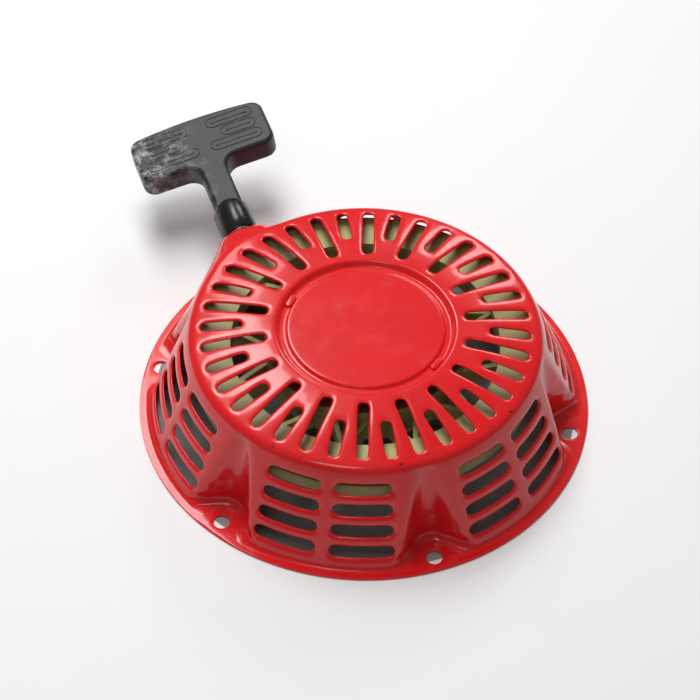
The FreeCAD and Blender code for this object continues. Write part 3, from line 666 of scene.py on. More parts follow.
def lead_path():
    corner, heading, run = lead_line()
    direction = Vector((math.cos(heading), math.sin(heading), 0.0))
    swing = math.pi / 2 - heading
    tangent = BEND_R * math.tan(swing / 2)
    start, bend_in = corner - direction * run, corner - direction * tangent
    path = [start.lerp(bend_in, k / 20) for k in range(20)]
    centre = corner + Vector((-BEND_R, tangent, 0.0))
    for k in range(13):
        angle = -swing * (1.0 - k / 12)
        path.append(centre + Vector((math.cos(angle), math.sin(angle), 0.0)) * BEND_R)
    bend_out = corner + Vector((0.0, tangent, 0.0))
    end = Vector((OUTLET_X, GRIP_START_Y + GRIP_KNOT_FROM_START - KNOT_R, ROPE_Z))
    path += [bend_out.lerp(end, k / 70) for k in range(1, 71)]
    return path, bend_out, end


def coil_path():
    """The turns on the reel, from the lead inwards; each steps down to the next in one short stretch."""
    heading = lead_line()[1]
    leave = 90.0 + math.degrees(heading)
    turns = (ROPE_TURNS * 360.0 - (leave - KNOT_HOLE_DEG)) / 360.0
    count = int(turns * 150)
    path = []
    for k in range(count + 1):
        along = turns * k / count
        whole = int(along)
        layer = whole + smooth_step((along - whole - 1.0 + CLIMB) / CLIMB)
        radius = lay_radius() - 2 * ROPE_R * layer
        path.append(turned(Vector((radius, 0.0, ROPE_Z)), leave + along * 360.0))
    first_r = lay_radius() - 2 * ROPE_R * (ROPE_TURNS - 1)
    turn_in = [(0.4, 1.6), (1.6, 2.8), (3.6, 3.6), (6.5, 3.9)]
    turn_in.append((first_r - KNOT_SEAT_R - 2.0, 3.9))
    for inward, onward in turn_in:
        path.append(turned(Vector((first_r - inward, 0.0, ROPE_Z)), KNOT_HOLE_DEG + onward))
    return path


def knot_path(centre):
    """A tight overhand knot, as a closed path."""
    path = []
    for k in range(91):
        t = 2 * math.pi * k / 90
        swell = 2.0 + math.cos(3 * t)
        place = Vector((swell * math.cos(2 * t), math.sin(3 * t) * 1.3, swell * math.sin(2 * t)))
        path.append(centre + place * KNOT_SPREAD)
    return path


def arc(centre, radius, start, end, count):
    angles = [math.radians(blend(start, end, k / count)) for k in range(count + 1)]
    return [(centre[0] + radius * math.cos(a), centre[1] + radius * math.sin(a)) for a in angles]


def grip_outline():
    """The grip's flat part, as (x, y) points: neck and bowed cross bar with rounded corners."""
    lean = math.radians(BAR_BOW_DEG)
    inner = BAR_HALF - BAR_CORNER
    bow_r = BAR_CORNER + inner / math.sin(lean)
    bow_y = BAR_END - BAR_CORNER - (bow_r - BAR_CORNER) * math.cos(lean)
    half = [(NECK_HALF, 12.0)]
    half += arc((NECK_HALF + FORK_CORNER, BAR_START - FORK_CORNER), FORK_CORNER, 180.0, 90.0, 9)
    half += arc((inner, BAR_START + BAR_CORNER), BAR_CORNER, -90.0, 0.0, 9)
    half += arc((inner, BAR_END - BAR_CORNER), BAR_CORNER, 0.0, 90.0 - BAR_BOW_DEG, 8)
    half += arc((0.0, bow_y), bow_r, 90.0 - BAR_BOW_DEG, 90.0, 10)[1:]
    return half + [(-x, y) for x, y in reversed(half[:-1])]


def stadium(x0, x1, y, radius, count=10):
    return arc((x1, y), radius, -90.0, 90.0, count) + arc((x0, y), radius, 90.0, 270.0, count)


def placed_on_grip(bm):
    """Moves what was made in the grip's own axes to its place, rolled about the rope."""
    turn = Matrix.Rotation(math.radians(GRIP_ROLL_DEG), 4, "Y")
    bmesh.ops.transform(bm, matrix=turn, verts=bm.verts)
    bmesh.ops.translate(bm, verts=bm.verts, vec=(OUTLET_X, GRIP_START_Y, ROPE_Z))


def build_grip():
    bm = bmesh.new()
    flat = outlined(bm, grip_outline(), GRIP_THICKNESS)
    soften(bm, level_edges(flat, 0.0) + level_edges(flat, GRIP_THICKNESS), GRIP_EDGE, 5)
    bmesh.ops.translate(bm, verts=bm.verts, vec=(0.0, 0.0, -GRIP_THICKNESS / 2))
    collar = bmesh.new()
    revolved(collar, [(radius, along, 0.0) for along, radius in COLLAR_PROFILE], (0, 1, 0), 72)
    return bm, collar


def build_grip_pattern():
    """Thin raised outlines on both faces of the grip, each round a low line with a round end."""
    bm = bmesh.new()
    half = GRIP_THICKNESS / 2
    for side in (1, -1):
        for y, inner, outer in PATTERN_ROWS:
            low, high = sorted((side * inner, side * outer))
            verts = outlined(bm, stadium(low, high, y, PATTERN_R), 0.3)
            top = max((f for v in verts for f in v.link_faces), key=lambda f: f.calc_center_median().z)
            bmesh.ops.inset_region(bm, faces=[top], thickness=0.3, depth=0.0)
            bmesh.ops.inset_region(bm, faces=[top], thickness=0.25, depth=-0.45)
            line = outlined(bm, stadium(low + 0.4, high - 0.4, y, 0.3, 4), 0.3)
            soften(bm, level_edges(line, 0.3), 0.12, 2)
            for end in (low, high):
                dot = outlined(bm, arc((end, y), 0.75, 0.0, 330.0, 11), 0.34)
                soften(bm, level_edges(dot, 0.34), 0.2, 2)
    bmesh.ops.translate(bm, verts=bm.verts, vec=(0.0, 0.0, half - 0.06))
    copy = bmesh.ops.duplicate(bm, geom=list(bm.verts) + list(bm.edges) + list(bm.faces))["geom"]
    other = [g for g in copy if isinstance(g, bmesh.types.BMVert)]
    bmesh.ops.rotate(bm, verts=other, cent=(0, 0, 0), matrix=Matrix.Rotation(math.pi, 3, "Y"))
    return bm


def joined(first, second):
    """Adds a second bmesh's geometry to the first, by way of a mesh that is then removed."""
    mesh = bpy.data.meshes.new("joined")
    second.to_mesh(mesh)
    second.free()
    first.from_mesh(mesh)
    bpy.data.meshes.remove(mesh)
    return first


# Where the camera stands, in metres, and its forward and right directions
CAMERA_PLACE = (-0.31369, -0.86601, 1.07073)
CAMERA_FORWARD = (0.22169, 0.62771, -0.74621)
CAMERA_RIGHT = (0.94752, -0.31943, 0.01280)

# Place, size and power of the lights above, in metres and watts
TOP_LIGHTS = {
    "overhead": ((-0.15, 0.45, 1.4), 0.8, 13.5),
    "front": ((-0.45, -0.55, 1.4), 0.5, 2.2),
}

# Direction, size and power of the lights whose reflections show on the dome and the grip
BACK_LIGHTS = {
    "behind": ((-0.02, 0.60, 0.80), 0.6, 9.0),
    "behind_right": ((0.45, 0.69, 0.55), 0.5, 4.0),
    "behind_low": ((0.04, 0.77, 0.64), 0.4, 2.0),
}
BACK_LIGHT_REACH = 2.0
WORLD_STRENGTH = 0.16
FLOOR_HALF = 6.0
# Dark grey disc on the floor under the housing, inside the flange: painted shade for the shadowed ground
# seen through the slots and louvres
PAINTED_SHADE_DISC_R = 0.1045
PAINTED_SHADE_DISC_Z = 0.0002
PAINTED_SHADE_DISC_COLOUR = (0.26, 0.26, 0.26)


# ---------------------------------------------------------------------------------------------
# Materials
# ---------------------------------------------------------------------------------------------


def new_material(name):
    material = bpy.data.materials.new(name)
    material.use_nodes = True
    tree = material.node_tree
    shader = tree.nodes["Principled BSDF"]
    return material, tree, shader


def add(tree, kind, **settings):
    node = tree.nodes.new(kind)
    for key, value in settings.items():
        if key in node.inputs:
            node.inputs[key].default_value = value
        else:
            setattr(node, key, value)
    return node


def object_coordinates(tree):
    return add(tree, "ShaderNodeTexCoord").outputs["Object"]


def noise_mask(tree, coordinates, scale, low, high, detail=4.0, roughness=0.6):
    """A soft mask from noise: 0 under low, 1 over high."""
    noise = add(tree, "ShaderNodeTexNoise")
    noise.inputs["Scale"].default_value = scale
    noise.inputs["Detail"].default_value = detail
    noise.inputs["Roughness"].default_value = roughness
    tree.links.new(coordinates, noise.inputs["Vector"])
    ramp = add(tree, "ShaderNodeMapRange")
    ramp.inputs["From Min"].default_value = low
    ramp.inputs["From Max"].default_value = high
    tree.links.new(noise.outputs["Fac"], ramp.inputs["Value"])
    return ramp.outputs["Result"]


def mix_colour(tree, share, first, second):
    mix = add(tree, "ShaderNodeMix", data_type="RGBA")
    for socket, value in (("Factor", share), (6, first), (7, second)):
        target = mix.inputs[0] if socket == "Factor" else mix.inputs[socket]
        if hasattr(value, "is_linked"):
            tree.links.new(value, target)
        else:
            target.default_value = value
    return mix.outputs[2]


def maths(tree, operation, first, second=0.0):
    node = add(tree, "ShaderNodeMath", operation=operation)
    for k, value in enumerate((first, second)):
        if hasattr(value, "is_linked"):
            tree.links.new(value, node.inputs[k])
        else:
            node.inputs[k].default_value = value
    return node.outputs[0]


def bump(tree, height, strength, distance):
    node = add(tree, "ShaderNodeBump")
    node.inputs["Strength"].default_value = strength
    node.inputs["Distance"].default_value = distance
    tree.links.new(height, node.inputs["Height"])
    return node.outputs["Normal"]


def dust_group():
    """Dust in noise patches and fine specks, as a colour and a roughness."""
    name = "settled_dust"
    if name in bpy.data.node_groups:
        return bpy.data.node_groups[name]
    group = bpy.data.node_groups.new(name, "ShaderNodeTree")
    face = group.interface
    face.new_socket("Colour", in_out="INPUT", socket_type="NodeSocketColor")
    face.new_socket("Dust", in_out="INPUT", socket_type="NodeSocketColor")
    face.new_socket("Amount", in_out="INPUT", socket_type="NodeSocketFloat")
    face.new_socket("Roughness", in_out="INPUT", socket_type="NodeSocketFloat")
    face.new_socket("Colour", in_out="OUTPUT", socket_type="NodeSocketColor")
    face.new_socket("Roughness", in_out="OUTPUT", socket_type="NodeSocketFloat")
    enter = group.nodes.new("NodeGroupInput")
    leave = group.nodes.new("NodeGroupOutput")
    coordinates = object_coordinates(group)
    patches = noise_mask(group, coordinates, 60.0, 0.45, 0.75)
    specks = noise_mask(group, coordinates, 900.0, 0.62, 0.72, detail=2.0)
    cover = maths(group, "ADD", maths(group, "MULTIPLY", patches, 0.35), specks)
    cover = maths(group, "MULTIPLY", cover, enter.outputs["Amount"])
    colour = mix_colour(group, cover, enter.outputs["Colour"], enter.outputs["Dust"])
    rough = maths(group, "ADD", enter.outputs["Roughness"], maths(group, "MULTIPLY", cover, 0.5))
    group.links.new(colour, leave.inputs["Colour"])
    group.links.new(rough, leave.inputs["Roughness"])
    return group


def use_dust(tree, shader, colour, roughness, amount, dust=(0.5, 0.48, 0.42, 1.0)):
    node = add(tree, "ShaderNodeGroup")
    node.node_tree = dust_group()
    node.inputs["Dust"].default_value = dust
    node.inputs["Amount"].default_value = amount
    for key, value in (("Colour", colour), ("Roughness", roughness)):
        if hasattr(value, "is_linked"):
            tree.links.new(value, node.inputs[key])
        else:
            node.inputs[key].default_value = value
    tree.links.new(node.outputs["Colour"], shader.inputs["Base Color"])
    tree.links.new(node.outputs["Roughness"], shader.inputs["Roughness"])


def red_paint(settings):
    """Glossy stoving enamel with a faint orange peel, rubbed patches and chips near the rim."""
    material, tree, shader = new_material("red_enamel")
    coordinates = object_coordinates(tree)
    separate = add(tree, "ShaderNodeSeparateXYZ")
    tree.links.new(coordinates, separate.inputs[0])
    radius = maths(tree, "SQRT", maths(tree, "ADD",
        maths(tree, "POWER", separate.outputs[0], 2.0), maths(tree, "POWER", separate.outputs[1], 2.0)))
    rim = add(tree, "ShaderNodeMapRange", interpolation_type="SMOOTHSTEP")
    rim.inputs["From Min"].default_value = 0.0045
    rim.inputs["From Max"].default_value = 0.0
    tree.links.new(maths(tree, "ABSOLUTE", maths(tree, "SUBTRACT", radius, 0.0845)), rim.inputs["Value"])
    chips = noise_mask(tree, coordinates, 380.0, 0.62, 0.66, detail=5.0)
    front = add(tree, "ShaderNodeMapRange")
    front.inputs["From Min"].default_value = -0.02
    front.inputs["From Max"].default_value = -0.06
    tree.links.new(separate.outputs[1], front.inputs["Value"])
    chip = maths(tree, "MULTIPLY", maths(tree, "MULTIPLY", chips, rim.outputs[0]), front.outputs[0])
    tone = noise_mask(tree, coordinates, 25.0, 0.3, 0.7)
    red = mix_colour(tree, tone, tuple(settings.red) + (1.0,), tuple(c * 0.9 for c in settings.red) + (1.0,))
    red = mix_colour(tree, chip, red, (0.035, 0.02, 0.02, 1.0))
    rub = noise_mask(tree, coordinates, 90.0, 0.5, 0.8, detail=6.0)
    roughness = maths(tree, "ADD", 0.2, maths(tree, "MULTIPLY", rub, 0.12))
    use_dust(tree, shader, red, roughness, 0.05, (0.55, 0.3, 0.28, 1.0))
    shader.inputs["Coat Weight"].default_value = 0.4
    shader.inputs["Coat Roughness"].default_value = 0.06
    shader.inputs["Specular IOR Level"].default_value = 0.35
    peel = add(tree, "ShaderNodeTexNoise")
    peel.inputs["Scale"].default_value = 350.0
    peel.inputs["Detail"].default_value = 2.0
    tree.links.new(coordinates, peel.inputs["Vector"])
    normal = bump(tree, peel.outputs["Fac"], 0.12, 0.0003)
    tree.links.new(normal, shader.inputs["Normal"])
    return material


def nylon(settings):
    """Natural moulded nylon: warm beige, a little translucent, with dirt in places."""
    material, tree, shader = new_material("natural_nylon")
    coordinates = object_coordinates(tree)
    tone = noise_mask(tree, coordinates, 35.0, 0.3, 0.75)
    light = tuple(settings.nylon) + (1.0,)
    dark = tuple(c * 0.8 for c in settings.nylon) + (1.0,)
    use_dust(tree, shader, mix_colour(tree, tone, light, dark), 0.42, 0.2, (0.25, 0.22, 0.15, 1.0))
    shader.inputs["Subsurface Weight"].default_value = 0.08
    shader.inputs["Subsurface Radius"].default_value = (0.002, 0.0018, 0.001)
    grain = add(tree, "ShaderNodeTexNoise")
    grain.inputs["Scale"].default_value = 700.0
    tree.links.new(coordinates, grain.inputs["Vector"])
    tree.links.new(bump(tree, grain.outputs["Fac"], 0.15, 0.0002), shader.inputs["Normal"])
    return material


def black_plastic(settings):
    """Black moulded plastic, satin and scuffed."""
    material, tree, shader = new_material("black_grip_plastic")
    coordinates = object_coordinates(tree)
    separate = add(tree, "ShaderNodeSeparateXYZ")
    tree.links.new(coordinates, separate.inputs[0])
    scuffs = noise_mask(tree, coordinates, 160.0, 0.48, 0.62, detail=8.0, roughness=0.75)
    left = add(tree, "ShaderNodeMapRange")
    left.inputs["From Min"].default_value = -0.036
    left.inputs["From Max"].default_value = -0.066
    tree.links.new(separate.outputs[0], left.inputs["Value"])
    worn = maths(tree, "MULTIPLY", scuffs, left.outputs[0])
    colour = mix_colour(tree, worn, tuple(settings.plastic) + (1.0,), (0.34, 0.35, 0.37, 1.0))
    roughness = maths(tree, "SUBTRACT", 0.42, maths(tree, "MULTIPLY", worn, 0.14))
    use_dust(tree, shader, colour, roughness, 0.06)
    grain = add(tree, "ShaderNodeTexNoise")
    grain.inputs["Scale"].default_value = 1200.0
    tree.links.new(coordinates, grain.inputs["Vector"])
    height = maths(tree, "ADD", grain.outputs["Fac"], maths(tree, "MULTIPLY", worn, 2.0))
    tree.links.new(bump(tree, height, 0.25, 0.0002), shader.inputs["Normal"])
    return material


def collar_plastic_painted_shade():
    """The same plastic, polished by handling in its lower roughness, with a darker colour that is painted
    shade.
    """
    material, tree, shader = new_material("collar_plastic_painted_shade")
    coordinates = object_coordinates(tree)
    rub = noise_mask(tree, coordinates, 260.0, 0.45, 0.7)
    # Colours darker than the grip's plastic: painted shade
    dark = mix_colour(tree, rub, (0.006, 0.006, 0.007, 1.0), (0.010, 0.010, 0.011, 1.0))
    use_dust(tree, shader, dark, maths(tree, "ADD", 0.24, maths(tree, "MULTIPLY", rub, 0.08)), 0.03)
    return material


def metal(name, colour, roughness, tarnish):
    """Plain or plated steel, or bronze: turned marks, tarnish in patches."""
    material, tree, shader = new_material(name)
    coordinates = object_coordinates(tree)
    patches = noise_mask(tree, coordinates, 80.0, 0.4, 0.75, detail=6.0)
    tone = mix_colour(tree, patches, colour + (1.0,), tuple(c * tarnish for c in colour) + (1.0,))
    marks = noise_mask(tree, coordinates, 500.0, 0.3, 0.7)
    rough = maths(tree, "ADD", roughness, maths(tree, "MULTIPLY", marks, 0.12))
    use_dust(tree, shader, tone, rough, 0.12, (0.2, 0.18, 0.14, 1.0))
    shader.inputs["Metallic"].default_value = 1.0
    tree.links.new(bump(tree, marks, 0.1, 0.0001), shader.inputs["Normal"])
    return material


def rope_material(name, along_y):
    """Braided starter rope, with painted shade in the dips between strands. The braid follows the UV map, or
    for the free rope its line along Y.
    """
    material, tree, shader = new_material(name)
    coordinates = object_coordinates(tree)
    if along_y:
        separate = add(tree, "ShaderNodeSeparateXYZ")
        tree.links.new(coordinates, separate.inputs[0])
        side = maths(tree, "SUBTRACT", separate.outputs[0], OUTLET_X * MM)
        rise = maths(tree, "SUBTRACT", separate.outputs[2], ROPE_Z * MM)
        round_share = maths(tree, "ARCTAN2", rise, side)
        along = maths(tree, "MULTIPLY", separate.outputs[1], 900.0)
    else:
        uv = add(tree, "ShaderNodeTexCoord").outputs["UV"]
        separate = add(tree, "ShaderNodeSeparateXYZ")
        tree.links.new(uv, separate.inputs[0])
        round_share = maths(tree, "MULTIPLY", separate.outputs[1], 2 * math.pi)
        along = maths(tree, "MULTIPLY", separate.outputs[0], 900.0)
    strands = maths(tree, "MULTIPLY", round_share, 4.0)
    first = maths(tree, "SINE", maths(tree, "ADD", strands, along))
    second = maths(tree, "SINE", maths(tree, "SUBTRACT", strands, along))
    weave = maths(tree, "MULTIPLY", maths(tree, "ADD", maths(tree, "MULTIPLY", first, second), 1.0), 0.5)
    fibres = noise_mask(tree, coordinates, 1500.0, 0.3, 0.7)
    # Painted shade: dark in the braid's dips, light on its raised strands, following the same weave as the
    # bump
    tone = mix_colour(tree, weave, (0.34, 0.32, 0.25, 1.0), (0.70, 0.67, 0.56, 1.0))
    tone = mix_colour(tree, maths(tree, "MULTIPLY", fibres, 0.3), tone, (0.45, 0.42, 0.34, 1.0))
    use_dust(tree, shader, tone, 0.8, 0.25, (0.2, 0.18, 0.14, 1.0))
    tree.links.new(bump(tree, maths(tree, "ADD", weave, maths(tree, "MULTIPLY", fibres, 0.2)), 0.8, 0.0006),
        shader.inputs["Normal"])
    return material


# Colour, roughness and the share of the colour that is left where it is tarnished
METALS = {
    "zinc_plate": ((0.62, 0.61, 0.56), 0.3, 0.75),
    "turned_steel": ((0.42, 0.42, 0.43), 0.28, 0.7),
    "blued_spring_steel": ((0.10, 0.12, 0.17), 0.3, 0.6),
    "sintered_bronze": ((0.48, 0.30, 0.12), 0.45, 0.7),
}


def metal_named(name):
    return made(name, metal, name, *METALS[name])


def floor_material(name, colour):
    material, tree, shader = new_material(name)
    coordinates = object_coordinates(tree)
    tone = noise_mask(tree, coordinates, 8.0, 0.3, 0.7)
    mixed = mix_colour(tree, tone, colour + (1.0,), tuple(c * 0.985 for c in colour) + (1.0,))
    tree.links.new(mixed, shader.inputs["Base Color"])
    shader.inputs["Roughness"].default_value = 0.8
    return material


def made(name, maker, *arguments):
    """A material by name, made the first time it is asked for."""
    return bpy.data.materials.get(name) or maker(*arguments)


# ---------------------------------------------------------------------------------------------
# Settings
# ---------------------------------------------------------------------------------------------


class StarterSettings(bpy.types.PropertyGroup):
    """Colours and sizes that a user would change."""

    red: FloatVectorProperty(name="Enamel", description="Colour of the painted housing",
        default=(0.74, 0.010, 0.013), min=0.0, max=1.0, size=3, subtype="COLOR")
    nylon: FloatVectorProperty(name="Nylon", description="Colour of the reel",
        default=(0.50, 0.46, 0.20), min=0.0, max=1.0, size=3, subtype="COLOR")
    plastic: FloatVectorProperty(name="Grip", description="Colour of the grip's plastic",
        default=(0.018, 0.019, 0.021), min=0.0, max=1.0, size=3, subtype="COLOR")
    floor: FloatVectorProperty(name="Floor", description="Colour of the floor",
        default=(0.90, 0.90, 0.90), min=0.0, max=1.0, size=3, subtype="COLOR")
    edge_bevel: FloatProperty(name="Edge bevel", description="Rounding on machined and moulded edges",
        default=0.3 * MM, min=0.0, max=0.002, unit="LENGTH", subtype="DISTANCE")
    lens: FloatProperty(name="Lens", description="Focal length of the camera, in millimetres",
        default=145.9, min=10.0, max=500.0)


# ---------------------------------------------------------------------------------------------
# Operators
# ---------------------------------------------------------------------------------------------


class STARTER_OT_housing(bpy.types.Operator):
    """Build the pressed steel housing"""

    bl_idname = "starter.housing"
    bl_label = "Housing"

    def execute(self, context):
        settings = context.scene.starter_settings
        bm, holes = build_housing_shell()
        open_holes(bm, holes)
        enamel = made("red_enamel", red_paint, settings)
        shell = new_object("housing_shell", bm, "housing", enamel)
        solid = shell.modifiers.new("sheet", "SOLIDIFY")
        solid.thickness = SHEET * MM
        solid.offset = -1.0
        solid.use_even_offset = False
        smooth = shell.modifiers.new("round", "SUBSURF")
        smooth.levels = 1
        smooth.render_levels = 1
        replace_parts(shell, "housing")
        return {"FINISHED"}


class STARTER_OT_lances(bpy.types.Operator):
    """Build the two raised lances in the crown's groove"""

    bl_idname = "starter.lances"
    bl_label = "Crown lances"

    def execute(self, context):
        settings = context.scene.starter_settings
        lances = bmesh.new()
        sunk = 0.4
        height = LANCE_TOP_Z - GROOVE_Z + sunk
        for azimuth in LANCE_ANGLES_DEG:
            bm = bmesh.new()
            verts = outlined(bm, stadium(-LANCE_RUN, LANCE_RUN, 0.0, LANCE_HALF, 8), height)
            soften(bm, level_edges(verts, height), 0.7, 4)
            turn = Matrix.Rotation(math.radians(azimuth), 4, "Z")
            place = Matrix.Translation((GROOVE_R, 0.0, GROOVE_Z - sunk))
            place = turn @ place @ Matrix.Rotation(math.pi / 2, 4, "Z")
            bmesh.ops.transform(bm, matrix=place, verts=bm.verts)
            joined(lances, bm)
        new_object("crown_lances", lances, "housing", made("red_enamel", red_paint, settings))
        return {"FINISHED"}


class STARTER_OT_eyelet(bpy.types.Operator):
    """Build the rolled eyelet in the rope outlet"""

    bl_idname = "starter.eyelet"
    bl_label = "Rope eyelet"

    def execute(self, context):
        profile = arc((EYELET_BORE_R + 1.2, OUTLET_Y - 0.6), 1.2, 180.0, 90.0, 6)
        profile = [(EYELET_BORE_R, EYELET_BACK_Y)] + profile
        profile += arc((EYELET_FLANGE_R - 0.5, OUTLET_Y + 0.1), 0.5, 90.0, -90.0, 6)
        profile += [(OUTLET_HOLE_R - 0.1, OUTLET_Y - 0.4), (OUTLET_HOLE_R - 0.1, EYELET_BACK_Y)]
        profile += [(EYELET_BORE_R, EYELET_BACK_Y)]
        bm = bmesh.new()
        revolved(bm, [(radius, along, 0.0) for radius, along in profile], (0, 1, 0), 64)
        bmesh.ops.translate(bm, verts=bm.verts, vec=(OUTLET_X, 0.0, ROPE_Z))
        steel = metal_named("turned_steel")
        eyelet = new_object("eyelet", bm, "housing", steel)
        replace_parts(eyelet, "rope_eyelet")
        return {"FINISHED"}


class STARTER_OT_grip(bpy.types.Operator):
    """Build the T-shaped pull grip"""

    bl_idname = "starter.grip"
    bl_label = "Grip"

    def execute(self, context):
        settings = context.scene.starter_settings
        plastic = made("black_grip_plastic", black_plastic, settings)
        bm, collar = build_grip()
        joined(bm, build_grip_pattern())
        placed_on_grip(bm)
        body = new_object("grip_bar", bm, "grip", plastic)
        flat = body.modifiers.new("flat_faces", "WEIGHTED_NORMAL")
        flat.keep_sharp = True
        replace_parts(body, "grip")
        placed_on_grip(collar)
        # The collar's plastic, darker than the grip's: painted shade
        gloss = made("collar_plastic_painted_shade", collar_plastic_painted_shade)
        new_object("grip_collar", collar, "grip", gloss)
        return {"FINISHED"}


class STARTER_OT_rope(bpy.types.Operator):
    """Build the rope on the reel, its lead to the grip and its two knots"""

    bl_idname = "starter.rope"
    bl_label = "Rope"

    def execute(self, context):
        wound = made("wound_rope", rope_material, "wound_rope", False)
        free = made("free_rope", rope_material, "free_rope", True)
        coil = bmesh.new()
        tube(coil, coil_path(), ROPE_R - ROPE_SLACK, 16)
        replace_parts(new_object("wound_turns", coil, "reel", wound), "rope_coil")

        knots = {
            "reel": turned(Vector((KNOT_SEAT_R, 0.0, ROPE_Z)), KNOT_HOLE_DEG),
            "rope_end": Vector((OUTLET_X, GRIP_START_Y + GRIP_KNOT_FROM_START, ROPE_Z)),
        }
        for (body, centre), node in zip(knots.items(), ("reel_knot", "grip_knot")):
            knot = bmesh.new()
            tube(knot, knot_path(centre), KNOT_R * 0.33, 12, closed=True)
            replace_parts(new_object("tied_" + node, knot, body, wound), node)

        path, bend_out, end = lead_path()
        lead = bmesh.new()
        tube(lead, path, ROPE_R - ROPE_SLACK, 24)
        line = new_object("rope_line", lead, None, free)
        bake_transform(line)
        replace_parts(line, "rope_lead")
        return {"FINISHED"}


class STARTER_OT_ratchet_springs(bpy.types.Operator):
    """Build the two small springs round the ratchet pins"""

    bl_idname = "starter.ratchet_springs"
    bl_label = "Ratchet springs"

    def execute(self, context):
        steel = metal_named("blued_spring_steel")
        for number, azimuth in enumerate(PIVOT_ANGLES_DEG):
            path = []
            coil_r, low = RATCHET_SPRING_R, RATCHET_SPRING_LOW_Z
            for k in range(9):
                path.append(Vector((PIVOT_R + coil_r, -7.0 + 7.0 * k / 9, low)))
            for k in range(76):
                angle = 2 * math.pi * k / 24
                rise = 2.2 * RATCHET_SPRING_WIRE * k / 24
                around = Vector((coil_r * math.cos(angle), coil_r * math.sin(angle), rise))
                path.append(Vector((PIVOT_R, 0.0, low)) + around)
            last = path[-1]
            for k in range(1, 9):
                path.append(last + Vector((-6.0 * k / 8, 0.5 * k / 8, 0.0)))
            bm = bmesh.new()
            tube(bm, path, RATCHET_SPRING_WIRE, 10)
            turn = Matrix.Rotation(math.radians(azimuth), 4, "Z")
            bmesh.ops.transform(bm, matrix=turn, verts=bm.verts)
            node = "ratchet_spring_%d" % (number + 1)
            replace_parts(new_object("wire_" + node, bm, "reel", steel), node)
        return {"FINISHED"}


class STARTER_OT_softened_parts(bpy.types.Operator):
    """Round the sharp edges of the moulded and turned parts"""

    bl_idname = "starter.softened_parts"
    bl_label = "Softened parts"

    def execute(self, context):
        settings = context.scene.starter_settings
        for name, body in SOFTENED.items():
            node = frame["nodes"][name]
            bm = bmesh.new()
            bm.from_mesh(node.data)
            bmesh.ops.transform(bm, matrix=node.matrix_world, verts=bm.verts)
            bmesh.ops.remove_doubles(bm, verts=bm.verts, dist=0.000002)
            bmesh.ops.dissolve_limit(bm, angle_limit=math.radians(0.2), verts=bm.verts, edges=bm.edges)
            bmesh.ops.scale(bm, vec=(1 / MM, 1 / MM, 1 / MM), verts=bm.verts)
            piece = new_object("soft_" + name, bm, body, node.data.materials[0])
            edge = piece.modifiers.new("edges", "BEVEL")
            edge.width = settings.edge_bevel
            edge.segments = 2
            edge.limit_method = "ANGLE"
            edge.angle_limit = math.radians(40.0)
            edge.harden_normals = False
            flat = piece.modifiers.new("flat_faces", "WEIGHTED_NORMAL")
            flat.keep_sharp = True
            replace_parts(piece, name)
        return {"FINISHED"}


class STARTER_OT_frame_materials(bpy.types.Operator):
    """Give every part of the fixed frame its material"""

    bl_idname = "starter.frame_materials"
    bl_label = "Frame materials"

    def execute(self, context):
        settings = context.scene.starter_settings
        table = {
            "red_paint": made("red_enamel", red_paint, settings),
            "nylon": made("natural_nylon", nylon, settings),
            "black_plastic": made("black_grip_plastic", black_plastic, settings),
            "rope": made("wound_rope", rope_material, "wound_rope", False),
            "zinc_steel": metal_named("zinc_plate"),
            "bare_steel": metal_named("turned_steel"),
            "spring_steel": metal_named("blued_spring_steel"),
            "bronze": metal_named("sintered_bronze"),
        }
        for part in frame["record"]["subparts"]:
            node = frame["nodes"][part["node"]]
            node.data.materials.clear()
            node.data.materials.append(table[part["material_slot"]])
        return {"FINISHED"}


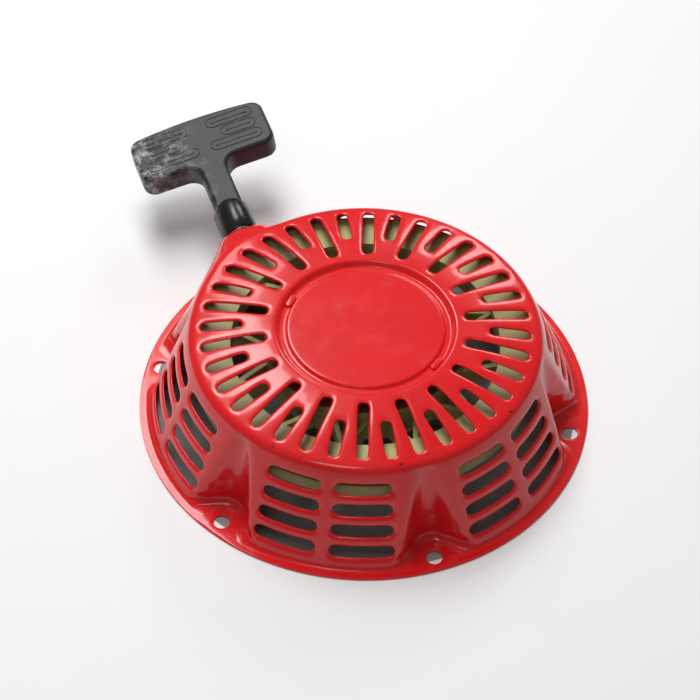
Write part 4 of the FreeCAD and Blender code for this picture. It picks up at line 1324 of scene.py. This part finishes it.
class STARTER_OT_stage(bpy.types.Operator):
    """Set out the floor, lights and camera"""

    bl_idname = "starter.stage"
    bl_label = "Stage"

    def execute(self, context):
        settings = context.scene.starter_settings
        floor = bmesh.new()
        bmesh.ops.create_grid(floor, x_segments=1, y_segments=1, size=FLOOR_HALF)
        self.staged("floor", floor, floor_material("pale_floor", tuple(settings.floor)))
        # The dark disc under the housing is painted shade, standing for the ground in the housing's shadow
        ground = bmesh.new()
        bmesh.ops.create_circle(ground, cap_ends=True, segments=96, radius=PAINTED_SHADE_DISC_R)
        bmesh.ops.translate(ground, verts=ground.verts, vec=(0.0, 0.0, PAINTED_SHADE_DISC_Z))
        self.staged("painted_shade_disc", ground, floor_material("painted_shade_disc", PAINTED_SHADE_DISC_COLOUR))
        camera = bpy.data.cameras.new("camera")
        camera.lens = settings.lens
        camera.sensor_width = 36.0
        camera.clip_end = 50.0
        view = bpy.data.objects.new("camera", camera)
        forward = Vector(CAMERA_FORWARD).normalized()
        right = Vector(CAMERA_RIGHT).normalized()
        up = right.cross(forward)
        turn = Matrix((right, up, -forward)).transposed()
        view.matrix_world = Matrix.Translation(CAMERA_PLACE) @ turn.to_4x4()
        context.scene.collection.objects.link(view)
        context.scene.camera = view
        lamps = {name: self.light(name, place, (0.0, 0.0, 0.0), size, power)
            for name, (place, size, power) in TOP_LIGHTS.items()}
        lamps["overhead"].visible_glossy = False
        for name, (direction, size, power) in BACK_LIGHTS.items():
            self.light(name, tuple(BACK_LIGHT_REACH * c for c in direction), (0.0, 0.0, 0.04), size, power)
        world = bpy.data.worlds.new("studio")
        world.use_nodes = True
        world.node_tree.nodes["Background"].inputs["Color"].default_value = (1.0, 1.0, 1.0, 1.0)
        world.node_tree.nodes["Background"].inputs["Strength"].default_value = WORLD_STRENGTH
        context.scene.world = world
        context.scene.view_settings.view_transform = "Standard"
        return {"FINISHED"}

    def staged(self, name, bm, material):
        mesh = bpy.data.meshes.new(name)
        bm.to_mesh(mesh)
        bm.free()
        mesh.materials.append(material)
        piece = bpy.data.objects.new(name, mesh)
        bpy.context.scene.collection.objects.link(piece)

    def light(self, name, place, target, size, power):
        lamp = bpy.data.lights.new(name, "AREA")
        lamp.shape = "DISK"
        lamp.size = size
        lamp.energy = power
        piece = bpy.data.objects.new(name, lamp)
        piece.location = place
        aim = Vector(target) - Vector(place)
        piece.rotation_euler = aim.to_track_quat("-Z", "Y").to_euler()
        bpy.context.scene.collection.objects.link(piece)
        return piece


class STARTER_PT_panel(bpy.types.Panel):
    """Buttons for each piece, in the sidebar"""

    bl_idname = "STARTER_PT_panel"
    bl_label = "Recoil starter"
    bl_space_type = "VIEW_3D"
    bl_region_type = "UI"
    bl_category = "Starter"

    def draw(self, context):
        layout = self.layout
        settings = context.scene.starter_settings
        for name in ("red", "nylon", "plastic", "floor", "edge_bevel", "lens"):
            layout.prop(settings, name)
        for operator in BUILD_ORDER:
            layout.operator(operator.bl_idname)


BUILD_ORDER = (
    STARTER_OT_frame_materials,
    STARTER_OT_housing,
    STARTER_OT_lances,
    STARTER_OT_eyelet,
    STARTER_OT_grip,
    STARTER_OT_rope,
    STARTER_OT_ratchet_springs,
    STARTER_OT_softened_parts,
    STARTER_OT_stage,
)
CLASSES = (StarterSettings,) + BUILD_ORDER + (STARTER_PT_panel,)


def register():
    for cls in CLASSES:
        bpy.utils.register_class(cls)
    bpy.types.Scene.starter_settings = PointerProperty(type=StarterSettings)


def unregister():
    del bpy.types.Scene.starter_settings
    for cls in reversed(CLASSES):
        bpy.utils.unregister_class(cls)


def main():
    register()
    for operator in BUILD_ORDER:
        family, name = operator.bl_idname.split(".")
        getattr(getattr(bpy.ops, family), name)()


if __name__ == "__main__":
    main()
